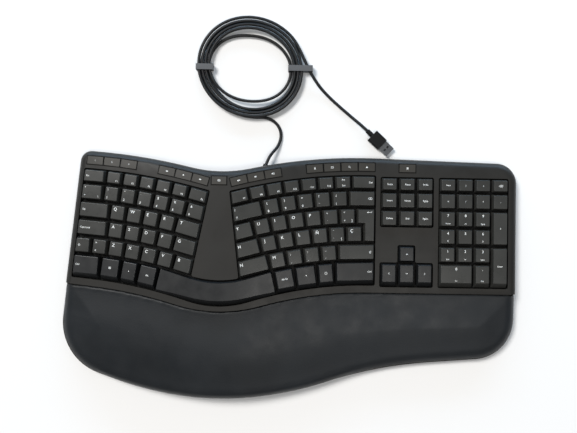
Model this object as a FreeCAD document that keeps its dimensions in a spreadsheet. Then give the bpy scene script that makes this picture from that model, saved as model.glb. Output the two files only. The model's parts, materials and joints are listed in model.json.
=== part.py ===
import FreeCAD, Part
import math
import os
import Sketcher
from FreeCAD import Placement, Rotation, Vector

# Ergonomic keyboard: two fans of keys on one domed deck, with a cushioned palm rest.
# X runs to the right, Y to the back, Z up. The origin is on the table under the middle of the case.

doc = FreeCAD.newDocument("ErgonomicKeyboard")
sheet = doc.addObject("Spreadsheet::Sheet", "Sizes")

SIZES = [
    # The case, seen from above
    ("right_side_x", 250.0, "right side of the case"),
    ("left_side_x", -250.1, "left side, level with the widest place"),
    ("left_side_y", -50.0, "where left_side_x is taken"),
    ("left_side_lean", 0.10, "how far the left side leans in per mm towards the back"),
    ("back_left_round", 12.0, "back left corner"),
    ("back_right_round", 22.0, "back right corner"),
    ("front_left_round", 60.0, "front left corner"),
    ("front_right_round", 45.0, "front right corner"),
    ("front_arc_x", -75.0, "middle of the front arc"),
    ("front_arc_round", 385.0, "radius of the front arc"),
    ("front_edge_y", -135.5, "foremost place of the front arc"),
    ("front_arc_left_x", -205.0, "left end of the front arc"),
    ("front_arc_right_x", 45.0, "right end of the front arc"),
    ("front_right_y", -85.3, "front edge at the right side"),
    ("front_right_slope", 0.085, "slope of the front edge on the right"),
    ("front_hollow_round", 470.0, "hollow of the front edge"),
    # The two fans that the key rows follow
    ("left_fan_x", -261.3, "centre of the left fan"),
    ("left_fan_y", -517.7, "centre of the left fan"),
    ("left_top_row", 626.2, "left fan radius of the function row"),
    ("right_fan_x", 83.2, "centre of the right fan"),
    ("right_fan_y", -435.4, "centre of the right fan"),
    ("right_top_row", 540.0, "right fan radius of the function row"),
    ("back_margin", 27.6, "function row to the back edge"),
    ("media_margin", 17.2, "function row to the flush buttons"),
    ("valley_left_x", -112.0, "left fan ends here"),
    ("valley_right_x", -43.0, "right fan starts here"),
    ("back_valley_round", 144.0, "valley in the back edge"),
    ("front_valley_round", 108.0, "valley in the wells and the bar"),
    ("seam_valley_round", 165.0, "valley in the seam"),
    ("seam_valley_left_x", -125.0, "left fan ends here along the seam"),
    ("seam_valley_right_x", -28.0, "right fan starts here along the seam"),
    ("fan_left_x", -216.0, "left end of the left fan arcs"),
    ("fan_right_x", 97.8, "right end of the right fan arcs"),
    # Heights of the deck
    ("deck_left_height", 20.0, "deck height at the left"),
    ("deck_crest_height", 37.5, "corner of the crest before rounding"),
    ("deck_crest_x", -76.0, "place of the crest"),
    ("deck_knee_height", 22.0, "where the right slope ends"),
    ("deck_knee_x", 95.0, "where the right slope ends"),
    ("deck_right_height", 21.7459, "deck height at the right side"),
    ("crest_round", 500.0, "rounding of the crest"),
    ("knee_round", 600.0, "rounding of the knee"),
    ("deck_pitch", 1.5, "degrees that the deck falls towards the back"),
    ("palm_pitch", 3.0, "degrees that the palm rest falls towards the front"),
    ("ridge_y", -25.0, "where both slopes start"),
    ("rim_round", 9.0, "rounded rim of the case"),
    ("hollow_round", 4.1, "rounded rim of the hollow under the deck"),
    ("wall", 2.5, "wall of the casings"),
    ("parting_height", 7.0, "where the top and bottom cases meet"),
    ("parting_gap", 0.1, "gap at the parting line"),
    # Palm rest
    ("seam_margin", 20.9, "bottom row to the palm rest seam"),
    ("pad_thickness", 4.0, "cushion over the shelf"),
    ("pad_gap", 0.3, "cushion to the case"),
    ("pad_sink", 0.6, "cushion edge below the deck"),
    ("pad_round", 12.0, "rolled front of the cushion"),
    ("pad_seam_bevel", 1.4, "drawn-in edge along the seam"),
    ("pad_lip_height", 9.0, "lower edge of the cushion"),
    ("shelf_round", 7.0, "rim of the shelf under the cushion"),
    # Keys
    ("left_pitch", 18.5, "key spacing in the left fan"),
    ("right_pitch", 18.75, "key spacing in the right fan"),
    ("key_gap", 1.8, "gap between keys"),
    ("key_depth", 17.4, "depth of a key"),
    ("thin_key_depth", 14.4, "depth of a function key"),
    ("deep_key_depth", 25.0, "depth of a bottom row key"),
    ("row_step_number", 17.7, "function row to number row"),
    ("row_step_upper", 19.4, "number row to upper letter row"),
    ("row_step_home", 19.4, "upper letter row to home row"),
    ("row_step_lower", 19.6, "home row to lower letter row"),
    ("row_step_bottom", 22.9, "lower letter row to bottom row"),
    ("key_side_taper", 1.5, "inset of a key's top on the sides and back"),
    ("deep_key_front_taper", 5.0, "inset of a bottom row key's front"),
    ("key_corner", 1.4, "cut corner of a key"),
    ("key_rise", 4.4, "key top above the deck"),
    ("key_sink", 2.6, "key bottom below the deck"),
    ("stem_width", 5.0, "square guide stem"),
    ("stem_gap", 0.3, "stem to its guide"),
    ("stem_overrun", 1.4, "stem below the guide plate"),
    ("enter_stem_shift", 1.0, "stem of the tall key, right of its middle"),
    ("button_width", 17.7, "flush button"),
    ("button_depth", 8.6, "flush button"),
    ("button_rise", 0.5, "flush button above the deck"),
    ("button_gap", 0.4, "flush button to the deck"),
    ("button_travel", 1.0, "how far a flush button goes down"),
    ("button_pitch", 18.9, "spacing of the flush buttons"),
    ("favorites_arc", 47.0, "first button of the left group, along the left fan"),
    ("media_left_arc", 127.8, "first button of the middle group, along the left fan"),
    ("media_right_arc", -140.6, "fifth button of the middle group, along the right fan"),
    ("media_middle_width", 16.0, "button in the valley"),
    ("media_middle_lift", 4.2, "button in the valley, behind the corner of its row"),
    ("media_middle_shift", 1.0, "the same button, left of that corner"),
    ("shortcut_arc", -57.0, "first button of the right group, along the right fan"),
    ("shortcut_pitch", 19.1, "spacing of the right group"),
    ("calculator_lift", 1.2, "single button behind its row"),
    ("button_lip", 0.8, "lip that holds a flush button under the deck"),
    ("button_side_lip", 0.3, "the same lip at the sides"),
    ("button_lip_height", 0.9, "thickness of that lip"),
    # Wells and straight blocks
    ("well_margin", 1.1, "keys to the wall of their well"),
    ("well_corner", 1.4, "cut corner of a well"),
    ("skirt", 1.6, "wall that goes down round a well"),
    ("left_block_inset", 7.1, "left side of the case to the left well"),
    ("right_block_x", 94.1, "right wall of the main well"),
    ("tongue_left_top_x", -87.0, "tongue between the fans, left side at tongue_top_y"),
    ("tongue_left_foot_x", -105.8, "tongue, left side at tongue_foot_y"),
    ("tongue_right_top_x", -65.8, "tongue, right side at tongue_top_y"),
    ("tongue_right_foot_x", -54.4, "tongue, right side at tongue_foot_y"),
    ("tongue_top_y", 91.0, "where the upper tongue sizes are taken"),
    ("tongue_foot_y", -2.0, "where the lower tongue sizes are taken"),
    ("nav_x", 128.3, "middle column of the navigation block"),
    ("nav_pitch", 19.6, "its column spacing"),
    ("pad_first_x", 172.7, "first column of the number pad"),
    ("pad_pitch", 19.1, "its column spacing"),
    ("block_top_y", 103.2, "function row of the straight blocks"),
    ("straight_key", 17.3, "width of a key in the straight blocks"),
    # Space bar
    ("bar_left_arc", 121.0, "left end, along the left fan"),
    ("bar_right_arc", -100.2, "right end, along the right fan"),
    ("bar_wedge_reach", 10.0, "the shapes that cut the bar's sides end this far above and below its top"),
    ("bar_front_inset", 11.0, "upper edge of the flatter slope in front"),
    ("bar_front_start", 2.8, "lower edge of that slope"),
    ("bar_front_drop", 3.2, "height of that slope"),
    ("bar_back_bevel", 2.6, "bevel along the back of the bar"),
    # What lies below the keys
    ("guide_drop", 6.0, "guide plate below the deck"),
    ("guide_thickness", 1.2, "guide plate"),
    ("guide_rim", 1.5, "rim of the guide plate"),
    ("plate_gap", 0.3, "guide plate to the wall at the seam"),
    ("guide_reach", 2.2, "guide plate past the wells"),
    ("dome_drop", 12.0, "dome sheet below the deck"),
    ("dome_thickness", 0.5, "dome sheet"),
    ("membrane_thickness", 0.3, "contact membrane"),
    ("backing_thickness", 0.8, "steel backing plate"),
    ("layer_inset", 0.4, "each lower layer is this much smaller"),
    ("seat_gap", 0.2, "small assembly gap"),
    # Bottom case
    ("base_height", 1.2, "underside of the bottom case"),
    ("floor_thickness", 2.0, "floor of the bottom case"),
    ("base_inset", 0.5, "bottom case inside the top case"),
    ("base_bevel", 3.0, "bevel round the underside"),
    ("foot_pad_recess", 0.8, "recess of a rubber foot"),
    ("foot_pad_length", 36.0, "rubber foot"),
    ("foot_pad_width", 9.0, "rubber foot"),
    # Screws
    ("screw_head_width", 6.0, "head diameter"),
    ("screw_head_height", 2.0, "head height"),
    ("screw_width", 2.6, "shank diameter"),
    ("screw_length", 7.0, "shank length"),
    ("screw_gap", 0.1, "screw to its holes"),
    ("screw_end_room", 1.5, "hole beyond the end of a screw"),
    ("screw_web", 1.4, "floor left above a screw head"),
    ("screw_set_back", 1.0, "screws under the deck, behind the row of flush buttons"),
    ("post_width", 7.0, "screw post of the top case"),
    ("boss_width", 9.0, "screw boss of the bottom case"),
    # Tilt feet
    ("tilt_width", 40.0, "width of a tilt foot"),
    ("tilt_length", 24.0, "pivot to the toe"),
    ("tilt_thickness", 3.8, "thickness of a tilt foot"),
    ("tilt_gap", 0.4, "tilt foot to its pocket"),
    ("tilt_sink", 0.6, "folded tilt foot above the underside"),
    ("tilt_cheek", 0.6, "wall of the pocket beyond a pin"),
    ("tilt_pin_width", 3.0, "pivot pin"),
    ("tilt_pin_length", 1.8, "pivot pin beyond the foot"),
    ("tilt_pin_gap", 0.1, "pin to its hole"),
    ("tilt_left_x", -172.0, "middle of the left tilt foot"),
    ("tilt_left_y", -104.0, "pivot of the left tilt foot"),
    ("tilt_right_x", 172.0, "middle of the right tilt foot"),
    ("tilt_right_y", -80.0, "pivot of the right tilt foot"),
    # Controller board
    ("board_x", -27.0, "middle of the board"),
    ("board_y", 96.0, "middle of the board"),
    ("board_length", 70.0, "board"),
    ("board_width", 22.0, "board"),
    ("board_thickness", 1.6, "board"),
    ("board_height", 6.0, "underside of the board"),
    ("board_post_width", 5.0, "post under the board"),
    ("board_post_spread", 28.0, "middle of the board to a post"),
    # Cord
    ("cord_width", 3.4, "diameter of the cord"),
    ("gland_x", -28.0, "cord outlet in the back wall"),
    ("gland_y", 121.3, "cord outlet in the back wall"),
    ("gland_height", 11.2, "cord outlet in the back wall"),
    ("gland_turn", 20.0, "degrees that the outlet points right of straight back"),
    ("gland_width", 6.0, "neck of the strain relief"),
    ("gland_flange_width", 8.0, "flange inside the wall"),
    ("gland_depth", 3.0, "neck inside the wall"),
    ("gland_flange_height", 1.6, "flange inside the wall"),
    ("gland_reach", 2.2, "neck outside the wall"),
    ("coil_x", -46.1, "middle of the coil"),
    ("coil_y", 231.2, "middle of the coil"),
    ("coil_outer", 57.7, "first turn at the bottom of the pile"),
    ("coil_inner", 45.6, "innermost turn"),
    ("coil_pitch", 3.9, "growth of each turn of the upper layer"),
    ("coil_flat", 3.2, "the coil is this much smaller front to back"),
    ("coil_lean", 4.0, "the coil leans to the left at the back, to the right at the front"),
    ("coil_slack_back", 6.0, "the innermost turn hangs in at the back"),
    ("coil_slack_side", 1.2, "the innermost turn hangs in at the right"),
    ("coil_slack_front", 5.0, "the innermost turn hangs in at the front"),
    ("coil_height", 3.0, "lower layer"),
    ("coil_rise", 3.95, "lower layer to upper layer"),
    ("coil_down_quarters", 6.0, "quarter turns of the lower layer"),
    ("coil_quarters", 22.0, "quarter turns in all, before the last piece"),
    ("coil_leave_angle", 25.0, "the last piece ends here, in degrees from the right"),
    ("tie_length", 6.5, "tie along the cord"),
    ("tie_wall", 1.0, "wall of a tie"),
    ("tie_gap", 0.3, "tie to the cord"),
    ("tie_right_x", 21.6, "the right tie also holds the end of the cord"),
    # Plug
    ("plug_turn", -43.0, "direction of the plug"),
    ("plug_height", 4.0, "axis of the plug"),
    ("plug_x", 84.9, "rear of the plug"),
    ("plug_y", 163.4, "rear of the plug"),
    ("plug_collar_length", 7.5, "short strain relief of the plug"),
    ("plug_collar_width", 5.4, "short strain relief of the plug"),
    ("plug_body_length", 15.5, "moulded grip"),
    ("plug_body_width", 14.6, "moulded grip"),
    ("plug_body_height", 7.8, "moulded grip"),
    ("plug_body_round", 1.0, "edges of the grip"),
    ("plug_shell_length", 12.0, "metal shell beyond the grip"),
    ("plug_shell_width", 12.0, "metal shell"),
    ("plug_shell_height", 4.5, "metal shell"),
    ("plug_shell_wall", 0.4, "metal shell"),
    ("plug_shell_root", 4.0, "metal shell inside the grip"),
    ("plug_tongue_height", 1.8, "contact tongue"),
    ("plug_tongue_gap", 0.3, "contact tongue to the shell's sides"),
    ("plug_tongue_back", 0.8, "contact tongue behind the shell's mouth"),
]

for row, (name, value, note) in enumerate(SIZES, start=1):
    sheet.set("A%d" % row, name)
    sheet.set("B%d" % row, "%s" % value)
    sheet.set("C%d" % row, note)
    sheet.setAlias("B%d" % row, name)
doc.recompute()


class Sizes:
    """Read-only view of the sheet, so that a size is used by its name."""

    def __getattr__(self, name):
        return float(sheet.get(name))


S = Sizes()
REACH = 400.0
TOP = 70.0
PARTS = []


def publish(name, shape):
    """A sub-part whose shape is worked out here."""
    part = doc.addObject("Part::Feature", name)
    part.Label = name
    part.Shape = shape
    PARTS.append(part)


# Lines, arcs and rounded outlines in plan

LEFT_FAN = Vector(S.left_fan_x, S.left_fan_y, 0)
RIGHT_FAN = Vector(S.right_fan_x, S.right_fan_y, 0)
FRONT_FAN = Vector(S.front_arc_x, S.front_edge_y + S.front_arc_round, 0)


def meet(line_a, line_b):
    """Where two lines cross; a line is a point and a direction."""
    (pa, da), (pb, db) = line_a, line_b
    cross = da.x * db.y - da.y * db.x
    share = ((pb.x - pa.x) * db.y - (pb.y - pa.y) * db.x) / cross
    return pa + da * share


def tangent(fan, radius, x, side=1):
    """Tangent of a fan's arc at x, on the arc's back side (1) or front side (-1)."""
    dx = x - fan.x
    dy = side * math.sqrt(radius * radius - dx * dx)
    return Vector(x, fan.y + dy, 0), Vector(dy, -dx, 0).normalize() * side


def fan_corner(fan, radius, x_a, x_b, side=1):
    """The corner whose rounding is the fan's arc from x_a to x_b."""
    return meet(tangent(fan, radius, x_a, side), tangent(fan, radius, x_b, side)), radius


def across(left_radius, right_radius, valley_round, x_start, x_end, valley_left, valley_right):
    """Corners of a curve that follows the left fan, the valley and the right fan."""
    valley = meet(tangent(LEFT_FAN, left_radius, valley_left),
                  tangent(RIGHT_FAN, right_radius, valley_right))
    return [
        fan_corner(LEFT_FAN, left_radius, x_start, valley_left),
        (valley, valley_round),
        fan_corner(RIGHT_FAN, right_radius, valley_right, x_end),
    ]


def rounded_edges(corners, closed=True):
    """Lines and tangent arcs along corners; each corner is a point and its radius.

    A corner with a negative radius is cut off straight, so far from its point.
    """
    count = len(corners)
    edges = []
    ends = []
    for index, (point, radius) in enumerate(corners):
        if not closed and index in (0, count - 1):
            ends.append((point, point))
            continue
        before = corners[index - 1][0]
        after = corners[(index + 1) % count][0]
        to_before = (before - point).normalize()
        to_after = (after - point).normalize()
        half = to_before.getAngle(to_after) / 2
        if radius < 0:
            start, end = point - to_before * radius, point - to_after * radius
            ends.append((start, end))
            edges.append((index, Part.makeLine(start, end)))
            continue
        if radius == 0 or abs(half - math.pi / 2) < 1e-7:
            ends.append((point, point))
            continue
        reach = radius / math.tan(half)
        start = point + to_before * reach
        end = point + to_after * reach
        middle_way = (to_before + to_after).normalize()
        middle = point + middle_way * (radius / math.sin(half) - radius)
        ends.append((start, end))
        edges.append((index, Part.Arc(start, middle, end).toShape()))
    arcs = dict(edges)
    path = []
    for index in range(count):
        if index in arcs:
            path.append(arcs[index])
        if index == count - 1 and not closed:
            break
        start = ends[index][1]
        end = ends[(index + 1) % count][0]
        side = corners[(index + 1) % count][0] - corners[index][0]
        if (end - start).dot(side) < -1e-6:
            raise ValueError("roundings overlap after corner %d near %s" % (index, corners[index][0]))
        if start.distanceToPoint(end) > 1e-6:
            path.append(Part.makeLine(start, end))
    return path


def outline_face(corners):
    return Part.Face(Part.Wire(rounded_edges(corners)))


def prism(face, low, high):
    base = face.copy()
    base.translate(Vector(0, 0, low))
    return base.extrude(Vector(0, 0, high - low))


def inset(face, amount):
    return face.makeOffset2D(-amount)


# The domed skin: a profile across X that is carried along Y on a slope

LEFT_SLOPE = (S.deck_crest_height - S.deck_left_height) / (S.deck_crest_x - S.left_side_x)
RIGHT_SLOPE = (S.deck_right_height - S.deck_knee_height) / (S.right_side_x - S.deck_knee_x)
PROFILE = [
    (Vector(-REACH, 0, S.deck_crest_height - LEFT_SLOPE * (S.deck_crest_x + REACH)), 0),
    (Vector(S.deck_crest_x, 0, S.deck_crest_height), S.crest_round),
    (Vector(S.deck_knee_x, 0, S.deck_knee_height), S.knee_round),
    (Vector(REACH, 0, S.deck_knee_height + RIGHT_SLOPE * (REACH - S.deck_knee_x)), 0),
]


def profile_height(x):
    """Height and slope of the profile at x."""
    points = [corner for corner, _ in PROFILE]
    for index in (1, 2):
        point, radius = PROFILE[index]
        into = (point - points[index - 1]).normalize()
        out = (points[index + 1] - point).normalize()
        half = into.getAngle(out) / 2
        reach = radius * math.tan(half)
        start = point - into * reach
        end = point + out * reach
        if start.x <= x <= end.x:
            up = -1 if index == 1 else 1
            normal = Vector(-into.z, 0, into.x) * up
            centre = start + normal * radius
            dz = math.sqrt(radius * radius - (x - centre.x) ** 2)
            return centre.z - up * dz, up * (x - centre.x) / dz
    index = 0 if x < points[1].x else (1 if x < points[2].x else 2)
    low, high = points[index], points[index + 1]
    slope = (high.z - low.z) / (high.x - low.x)
    return low.z + slope * (x - low.x), slope


DECK_FALL = math.tan(math.radians(S.deck_pitch))
PALM_FALL = math.tan(math.radians(S.palm_pitch))


def deck_point(x, y, rise=0.0):
    height, _ = profile_height(x)
    return Vector(x, y, height - DECK_FALL * (y - S.ridge_y) + rise)


def deck_normal(x):
    _, slope = profile_height(x)
    return Vector(-slope, DECK_FALL, 1).normalize()


def below(drop, fall=None):
    """Everything under the skin, lowered by drop; fall is the slope along Y."""
    fall = -DECK_FALL if fall is None else fall
    lift = Vector(0, -REACH, fall * (-REACH - S.ridge_y) - drop)
    corners = [(corner + lift, radius) for corner, radius in PROFILE]
    floor = -60.0
    corners.append((Vector(REACH, -REACH, floor), 0))
    corners.append((Vector(-REACH, -REACH, floor), 0))
    face = Part.Face(Part.Wire(rounded_edges(corners)))
    return face.extrude(Vector(0, 2 * REACH, 2 * REACH * fall))


def rim_edges(solid, wire, distance, height):
    """Edges that run along an outline, so far inside it and above a height."""
    picked = []
    for edge in solid.Edges:
        points = edge.discretize(5)
        if min(point.z for point in points) < height:
            continue
        flat = [Vector(point.x, point.y, 0) for point in points]
        if flat[0].distanceToPoint(flat[-1]) < 1e-3:
            continue
        away = [wire.distToShape(Part.Vertex(point))[0] for point in flat]
        if max(abs(one - distance) for one in away) < 0.05 * distance + 1e-3:
            picked.append(edge)
    return picked


def round_rim(solid, face, radius, height, fine=True):
    """Round a rim with one bevel, or with three that follow the arc closely."""
    cut = radius * (2 - math.sqrt(2))
    wire = face.OuterWire
    solid = solid.makeChamfer(cut, rim_edges(solid, wire, 0, height))
    if not fine:
        return solid
    step = radius * (math.tan(math.pi / 8) - math.tan(math.pi / 16))
    edges = rim_edges(solid, wire, 0, height) + rim_edges(solid, wire, cut, height)
    return solid.makeChamfer(step, edges)


# Rows of keys: radii in the fans and places in the straight blocks

ROW_STEPS = [0.0, S.row_step_number, S.row_step_upper, S.row_step_home, S.row_step_lower,
             S.row_step_bottom]
ROW_DROPS = [sum(ROW_STEPS[:index + 1]) for index in range(6)]
ROW_DEPTHS = [S.thin_key_depth] + [S.key_depth] * 4 + [S.deep_key_depth]
BOTTOM_ROW = 5
BOTTOM = ROW_DROPS[BOTTOM_ROW]
WELL_BACK = S.thin_key_depth / 2 + S.well_margin
WELL_FRONT = BOTTOM + S.deep_key_depth / 2 + S.well_margin
SEAM = BOTTOM + S.seam_margin
BAR_BACK = BOTTOM - S.deep_key_depth / 2
BAR_FRONT = BOTTOM + S.deep_key_depth / 2

UP = Vector(0, 1, 0)
LEFT_SIDE = (Vector(S.left_side_x, S.left_side_y, 0), Vector(S.left_side_lean, 1, 0))
RIGHT_SIDE = (Vector(S.right_side_x, 0, 0), UP)
TONGUE_LEFT = (Vector(S.tongue_left_foot_x, S.tongue_foot_y, 0),
               Vector(S.tongue_left_top_x - S.tongue_left_foot_x, S.tongue_top_y - S.tongue_foot_y, 0))
TONGUE_RIGHT = (Vector(S.tongue_right_foot_x, S.tongue_foot_y, 0),
                Vector(S.tongue_right_top_x - S.tongue_right_foot_x, S.tongue_top_y - S.tongue_foot_y, 0))


def beside(line, shift):
    point, direction = line
    return point + Vector(shift, 0, 0), direction


def curve_across(drop, valley_round, x_start=None, x_end=None):
    """The curve at one depth below the function row, through both fans."""
    return across(S.left_top_row - drop, S.right_top_row - drop, valley_round,
                  S.fan_left_x if x_start is None else x_start,
                  S.fan_right_x if x_end is None else x_end, S.valley_left_x, S.valley_right_x)


def left_tangent(drop, x=None):
    return tangent(LEFT_FAN, S.left_top_row - drop, S.fan_left_x if x is None else x)


def right_tangent(drop, x=None):
    return tangent(RIGHT_FAN, S.right_top_row - drop, S.fan_right_x if x is None else x)


def valley_up(drop):
    """Direction from the bottom of the valley to the centre of its rounding."""
    left = left_tangent(drop, S.valley_left_x)
    right = right_tangent(drop, S.valley_right_x)
    return (right[1] - left[1]).normalize()


def valley_centre(drop, valley_round):
    """Centre of the rounding between the fans at one depth."""
    left = left_tangent(drop, S.valley_left_x)
    right = right_tangent(drop, S.valley_right_x)
    up = valley_up(drop)
    return meet(left, right) + up * (valley_round / math.sin(up.getAngle(right[1])))


# The outline of the case

front_right = (Vector(S.right_side_x, S.front_right_y, 0), Vector(1, S.front_right_slope, 0))
front_left_tangent = tangent(FRONT_FAN, S.front_arc_round, S.front_arc_left_x, -1)
front_right_tangent = tangent(FRONT_FAN, S.front_arc_round, S.front_arc_right_x, -1)

OUTLINE = [
    (meet(LEFT_SIDE, front_left_tangent), S.front_left_round),
    fan_corner(FRONT_FAN, S.front_arc_round, S.front_arc_left_x, S.front_arc_right_x, -1),
    (meet(front_right_tangent, front_right), S.front_hollow_round),
    (meet(front_right, RIGHT_SIDE), S.front_right_round),
    (meet(right_tangent(-S.back_margin), RIGHT_SIDE), S.back_right_round),
]
OUTLINE += reversed(curve_across(-S.back_margin, S.back_valley_round))
OUTLINE.append((meet(left_tangent(-S.back_margin), LEFT_SIDE), S.back_left_round))
case_face = outline_face(OUTLINE)


def behind(drop):
    """The plan area behind the seam's curve at one depth below the function row."""
    curve = across(S.left_top_row - drop, S.right_top_row - drop, S.seam_valley_round,
                   S.fan_left_x, S.right_fan_x, S.seam_valley_left_x, S.seam_valley_right_x)
    left = left_tangent(drop)
    right = (right_tangent(drop, S.right_fan_x)[0], Vector(1, 0, 0))
    start = left[0] - left[1] * ((left[0].x + REACH) / left[1].x)
    end = Vector(REACH, right[0].y, 0)
    return outline_face([(start, 0)] + curve
                        + [(end, 0), (Vector(REACH, REACH, 0), 0), (Vector(-REACH, REACH, 0), 0)])


# Wells

def main_well(margin=0.0):
    """Well of both fans and the space bar, with the tongue coming down between them."""
    left = beside(LEFT_SIDE, S.left_block_inset - margin)
    right = (Vector(S.right_block_x + margin, 0, 0), UP)
    front = curve_across(WELL_FRONT + margin, S.front_valley_round, x_end=S.right_fan_x)
    back = curve_across(-WELL_BACK - margin, S.back_valley_round, x_end=S.right_fan_x)
    foot = BAR_BACK - S.well_margin - margin
    corner = -S.well_corner
    tongue_left = beside(TONGUE_LEFT, margin)
    tongue_right = beside(TONGUE_RIGHT, -margin)
    back_left_end = tangent(LEFT_FAN, S.left_top_row + WELL_BACK + margin, S.valley_left_x)
    back_right_end = tangent(RIGHT_FAN, S.right_top_row + WELL_BACK + margin, S.valley_right_x)
    valley = valley_centre(foot, S.front_valley_round)
    foot_left_x = S.tongue_left_foot_x + 3 * S.well_corner
    foot_right_x = S.tongue_right_foot_x - 3 * S.well_corner
    foot_left = tangent(valley, S.front_valley_round, foot_left_x, -1)
    foot_right = tangent(valley, S.front_valley_round, foot_right_x, -1)
    corners = [(meet(left, left_tangent(WELL_FRONT + margin)), corner)]
    corners += front
    corners += [
        (meet(right_tangent(WELL_FRONT + margin, S.right_fan_x), right), corner),
        (meet(right_tangent(-WELL_BACK - margin, S.right_fan_x), right), corner),
        back[2],
        (meet(back_right_end, tongue_right), corner),
        (meet(foot_right, tongue_right), corner),
        fan_corner(valley, S.front_valley_round, foot_left_x, foot_right_x, -1),
        (meet(foot_left, tongue_left), corner),
        (meet(back_left_end, tongue_left), corner),
        back[0],
        (meet(left, left_tangent(-WELL_BACK - margin)), corner),
    ]
    return outline_face(corners)


def box_well(x_low, x_high, y_low, y_high, margin=0.0):
    grow = S.well_margin + margin
    corner = -S.well_corner
    return outline_face([
        (Vector(x_low - grow, y_low - grow, 0), corner),
        (Vector(x_high + grow, y_low - grow, 0), corner),
        (Vector(x_high + grow, y_high + grow, 0), corner),
        (Vector(x_low - grow, y_high + grow, 0), corner),
    ])


def row_y(row):
    return S.block_top_y - ROW_DROPS[row]


def row_back(row):
    return row_y(row) + ROW_DEPTHS[row] / 2


def row_front(row):
    return row_y(row) - ROW_DEPTHS[row] / 2


HALF = S.straight_key / 2
NAV_LEFT = S.nav_x - S.nav_pitch - HALF
NAV_RIGHT = S.nav_x + S.nav_pitch + HALF
PAD_RIGHT = S.pad_first_x + 3 * S.pad_pitch + HALF


def arrow_well(margin=0.0):
    """The well of the arrow keys, like a T upside down."""
    grow = S.well_margin + margin
    corner = -S.well_corner
    low, shoulder, high = row_front(5) - grow, row_back(5) + grow, row_back(4) + grow
    left, right = NAV_LEFT - grow, NAV_RIGHT + grow
    up_left, up_right = S.nav_x - HALF - grow, S.nav_x + HALF + grow
    return outline_face([
        (Vector(left, low, 0), corner), (Vector(right, low, 0), corner),
        (Vector(right, shoulder, 0), corner), (Vector(up_right, shoulder, 0), corner),
        (Vector(up_right, high, 0), corner), (Vector(up_left, high, 0), corner),
        (Vector(up_left, shoulder, 0), corner), (Vector(left, shoulder, 0), corner),
    ])


def wells(margin=0.0):
    return [
        main_well(margin),
        box_well(NAV_LEFT, NAV_RIGHT, row_front(2), row_back(0), margin),
        arrow_well(margin),
        box_well(S.pad_first_x - HALF, PAD_RIGHT, row_front(5), row_back(0), margin),
    ]


# Key caps

def inset_polygon(points, amounts):
    """Move each side of a polygon inwards by its own amount."""
    count = len(points)
    lines = []
    for index, point in enumerate(points):
        along = (points[(index + 1) % count] - point).normalize()
        inward = Vector(-along.y, along.x, 0)
        lines.append((point + inward * amounts[index], along))
    return [meet(lines[index - 1], lines[index]) for index in range(count)]


def frustum(points, amounts, low, high):
    """A solid with sloping sides between a polygon and its inset copy."""
    base = [Vector(point.x, point.y, low) for point in points]
    top = [Vector(point.x, point.y, high) for point in inset_polygon(points, amounts)]
    count = len(points)
    faces = [Part.Face(Part.makePolygon(base + base[:1])), Part.Face(Part.makePolygon(top + top[:1]))]
    for index in range(count):
        after = (index + 1) % count
        faces.append(Part.Face(Part.makePolygon(
            [base[index], base[after], top[after], top[index], base[index]])))
    return Part.makeSolid(Part.makeShell(faces))


def rectangle(width, depth, x=0.0, y=0.0):
    return [Vector(x - width / 2, y - depth / 2, 0), Vector(x + width / 2, y - depth / 2, 0),
            Vector(x + width / 2, y + depth / 2, 0), Vector(x - width / 2, y + depth / 2, 0)]


def on_deck(x, y, turn):
    """Placement on the skin, turned clockwise by an angle seen from above."""
    normal = deck_normal(x)
    back = Vector(math.sin(turn), math.cos(turn), 0)
    back = (back - normal * back.dot(normal)).normalize()
    right = back.cross(normal)
    return Placement(deck_point(x, y), Rotation(right, back, normal, "ZXY"))


STEM_LOW = -(S.guide_drop + S.guide_thickness + S.stem_overrun)
GUIDES = []


def stem(placement, offset=0.0, low=STEM_LOW):
    """A guide stem in a key's own frame, and its hole for the guide plate."""
    width = S.stem_width
    GUIDES.append(placed(Part.makeBox(
        width + 2 * S.stem_gap, width + 2 * S.stem_gap, TOP,
        Vector(offset - width / 2 - S.stem_gap, -width / 2 - S.stem_gap, -TOP / 2)), placement))
    return Part.makeBox(width, width, -low - S.key_sink / 2,
                        Vector(offset - width / 2, -width / 2, low))


def placed(shape, placement):
    shape = shape.copy()
    shape.Placement = placement.multiply(shape.Placement)
    return shape


def along_walls(points, place, walls):
    """A key's corners with its left and right ends moved onto the lines beside it."""
    back = place.inverse()
    for wall, pair in zip(walls, ((0, 3), (1, 2))):
        if wall is None:
            continue
        start = back.multVec(Vector(wall[0].x, wall[0].y, place.Base.z))
        way = back.Rotation.multVec(wall[1])
        line = (Vector(start.x, start.y, 0), Vector(way.x, way.y, 0))
        for index in pair:
            points[index] = meet(line, (points[index], Vector(1, 0, 0)))
    return points


def key(place, width, depth, front_taper=None, walls=()):
    taper = S.key_side_taper
    tapers = [taper if front_taper is None else front_taper, taper, taper, taper]
    corners = along_walls(rectangle(width, depth), place, walls)
    cap = frustum(corners, tapers, -S.key_sink, S.key_rise)
    return placed(cap.fuse(stem(place)).removeSplitter(), place)


def fan_place(fan, radius, arc):
    turn = arc / radius
    return on_deck(fan.x + radius * math.sin(turn), fan.y + radius * math.cos(turn), turn)


def arc_at(fan, radius, line, shift):
    """Arc length from the fan's axis to a slanting line, at one radius."""
    x = fan.x
    for _ in range(8):
        y = fan.y + math.sqrt(radius * radius - (x - fan.x) ** 2)
        x = meet((Vector(0, y, 0), Vector(1, 0, 0)), beside(line, shift)).x
    return radius * math.asin((x - fan.x) / radius)


def front_taper(row):
    return S.deep_key_front_taper if row == BOTTOM_ROW else None


LEFT_WALL = beside(LEFT_SIDE, S.left_block_inset + S.well_margin)
RIGHT_WALL = (Vector(S.right_block_x - S.well_margin, 0, 0), UP)
TONGUE_WALLS = {"left": beside(TONGUE_LEFT, -S.well_margin), "right": beside(TONGUE_RIGHT, S.well_margin)}


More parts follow.
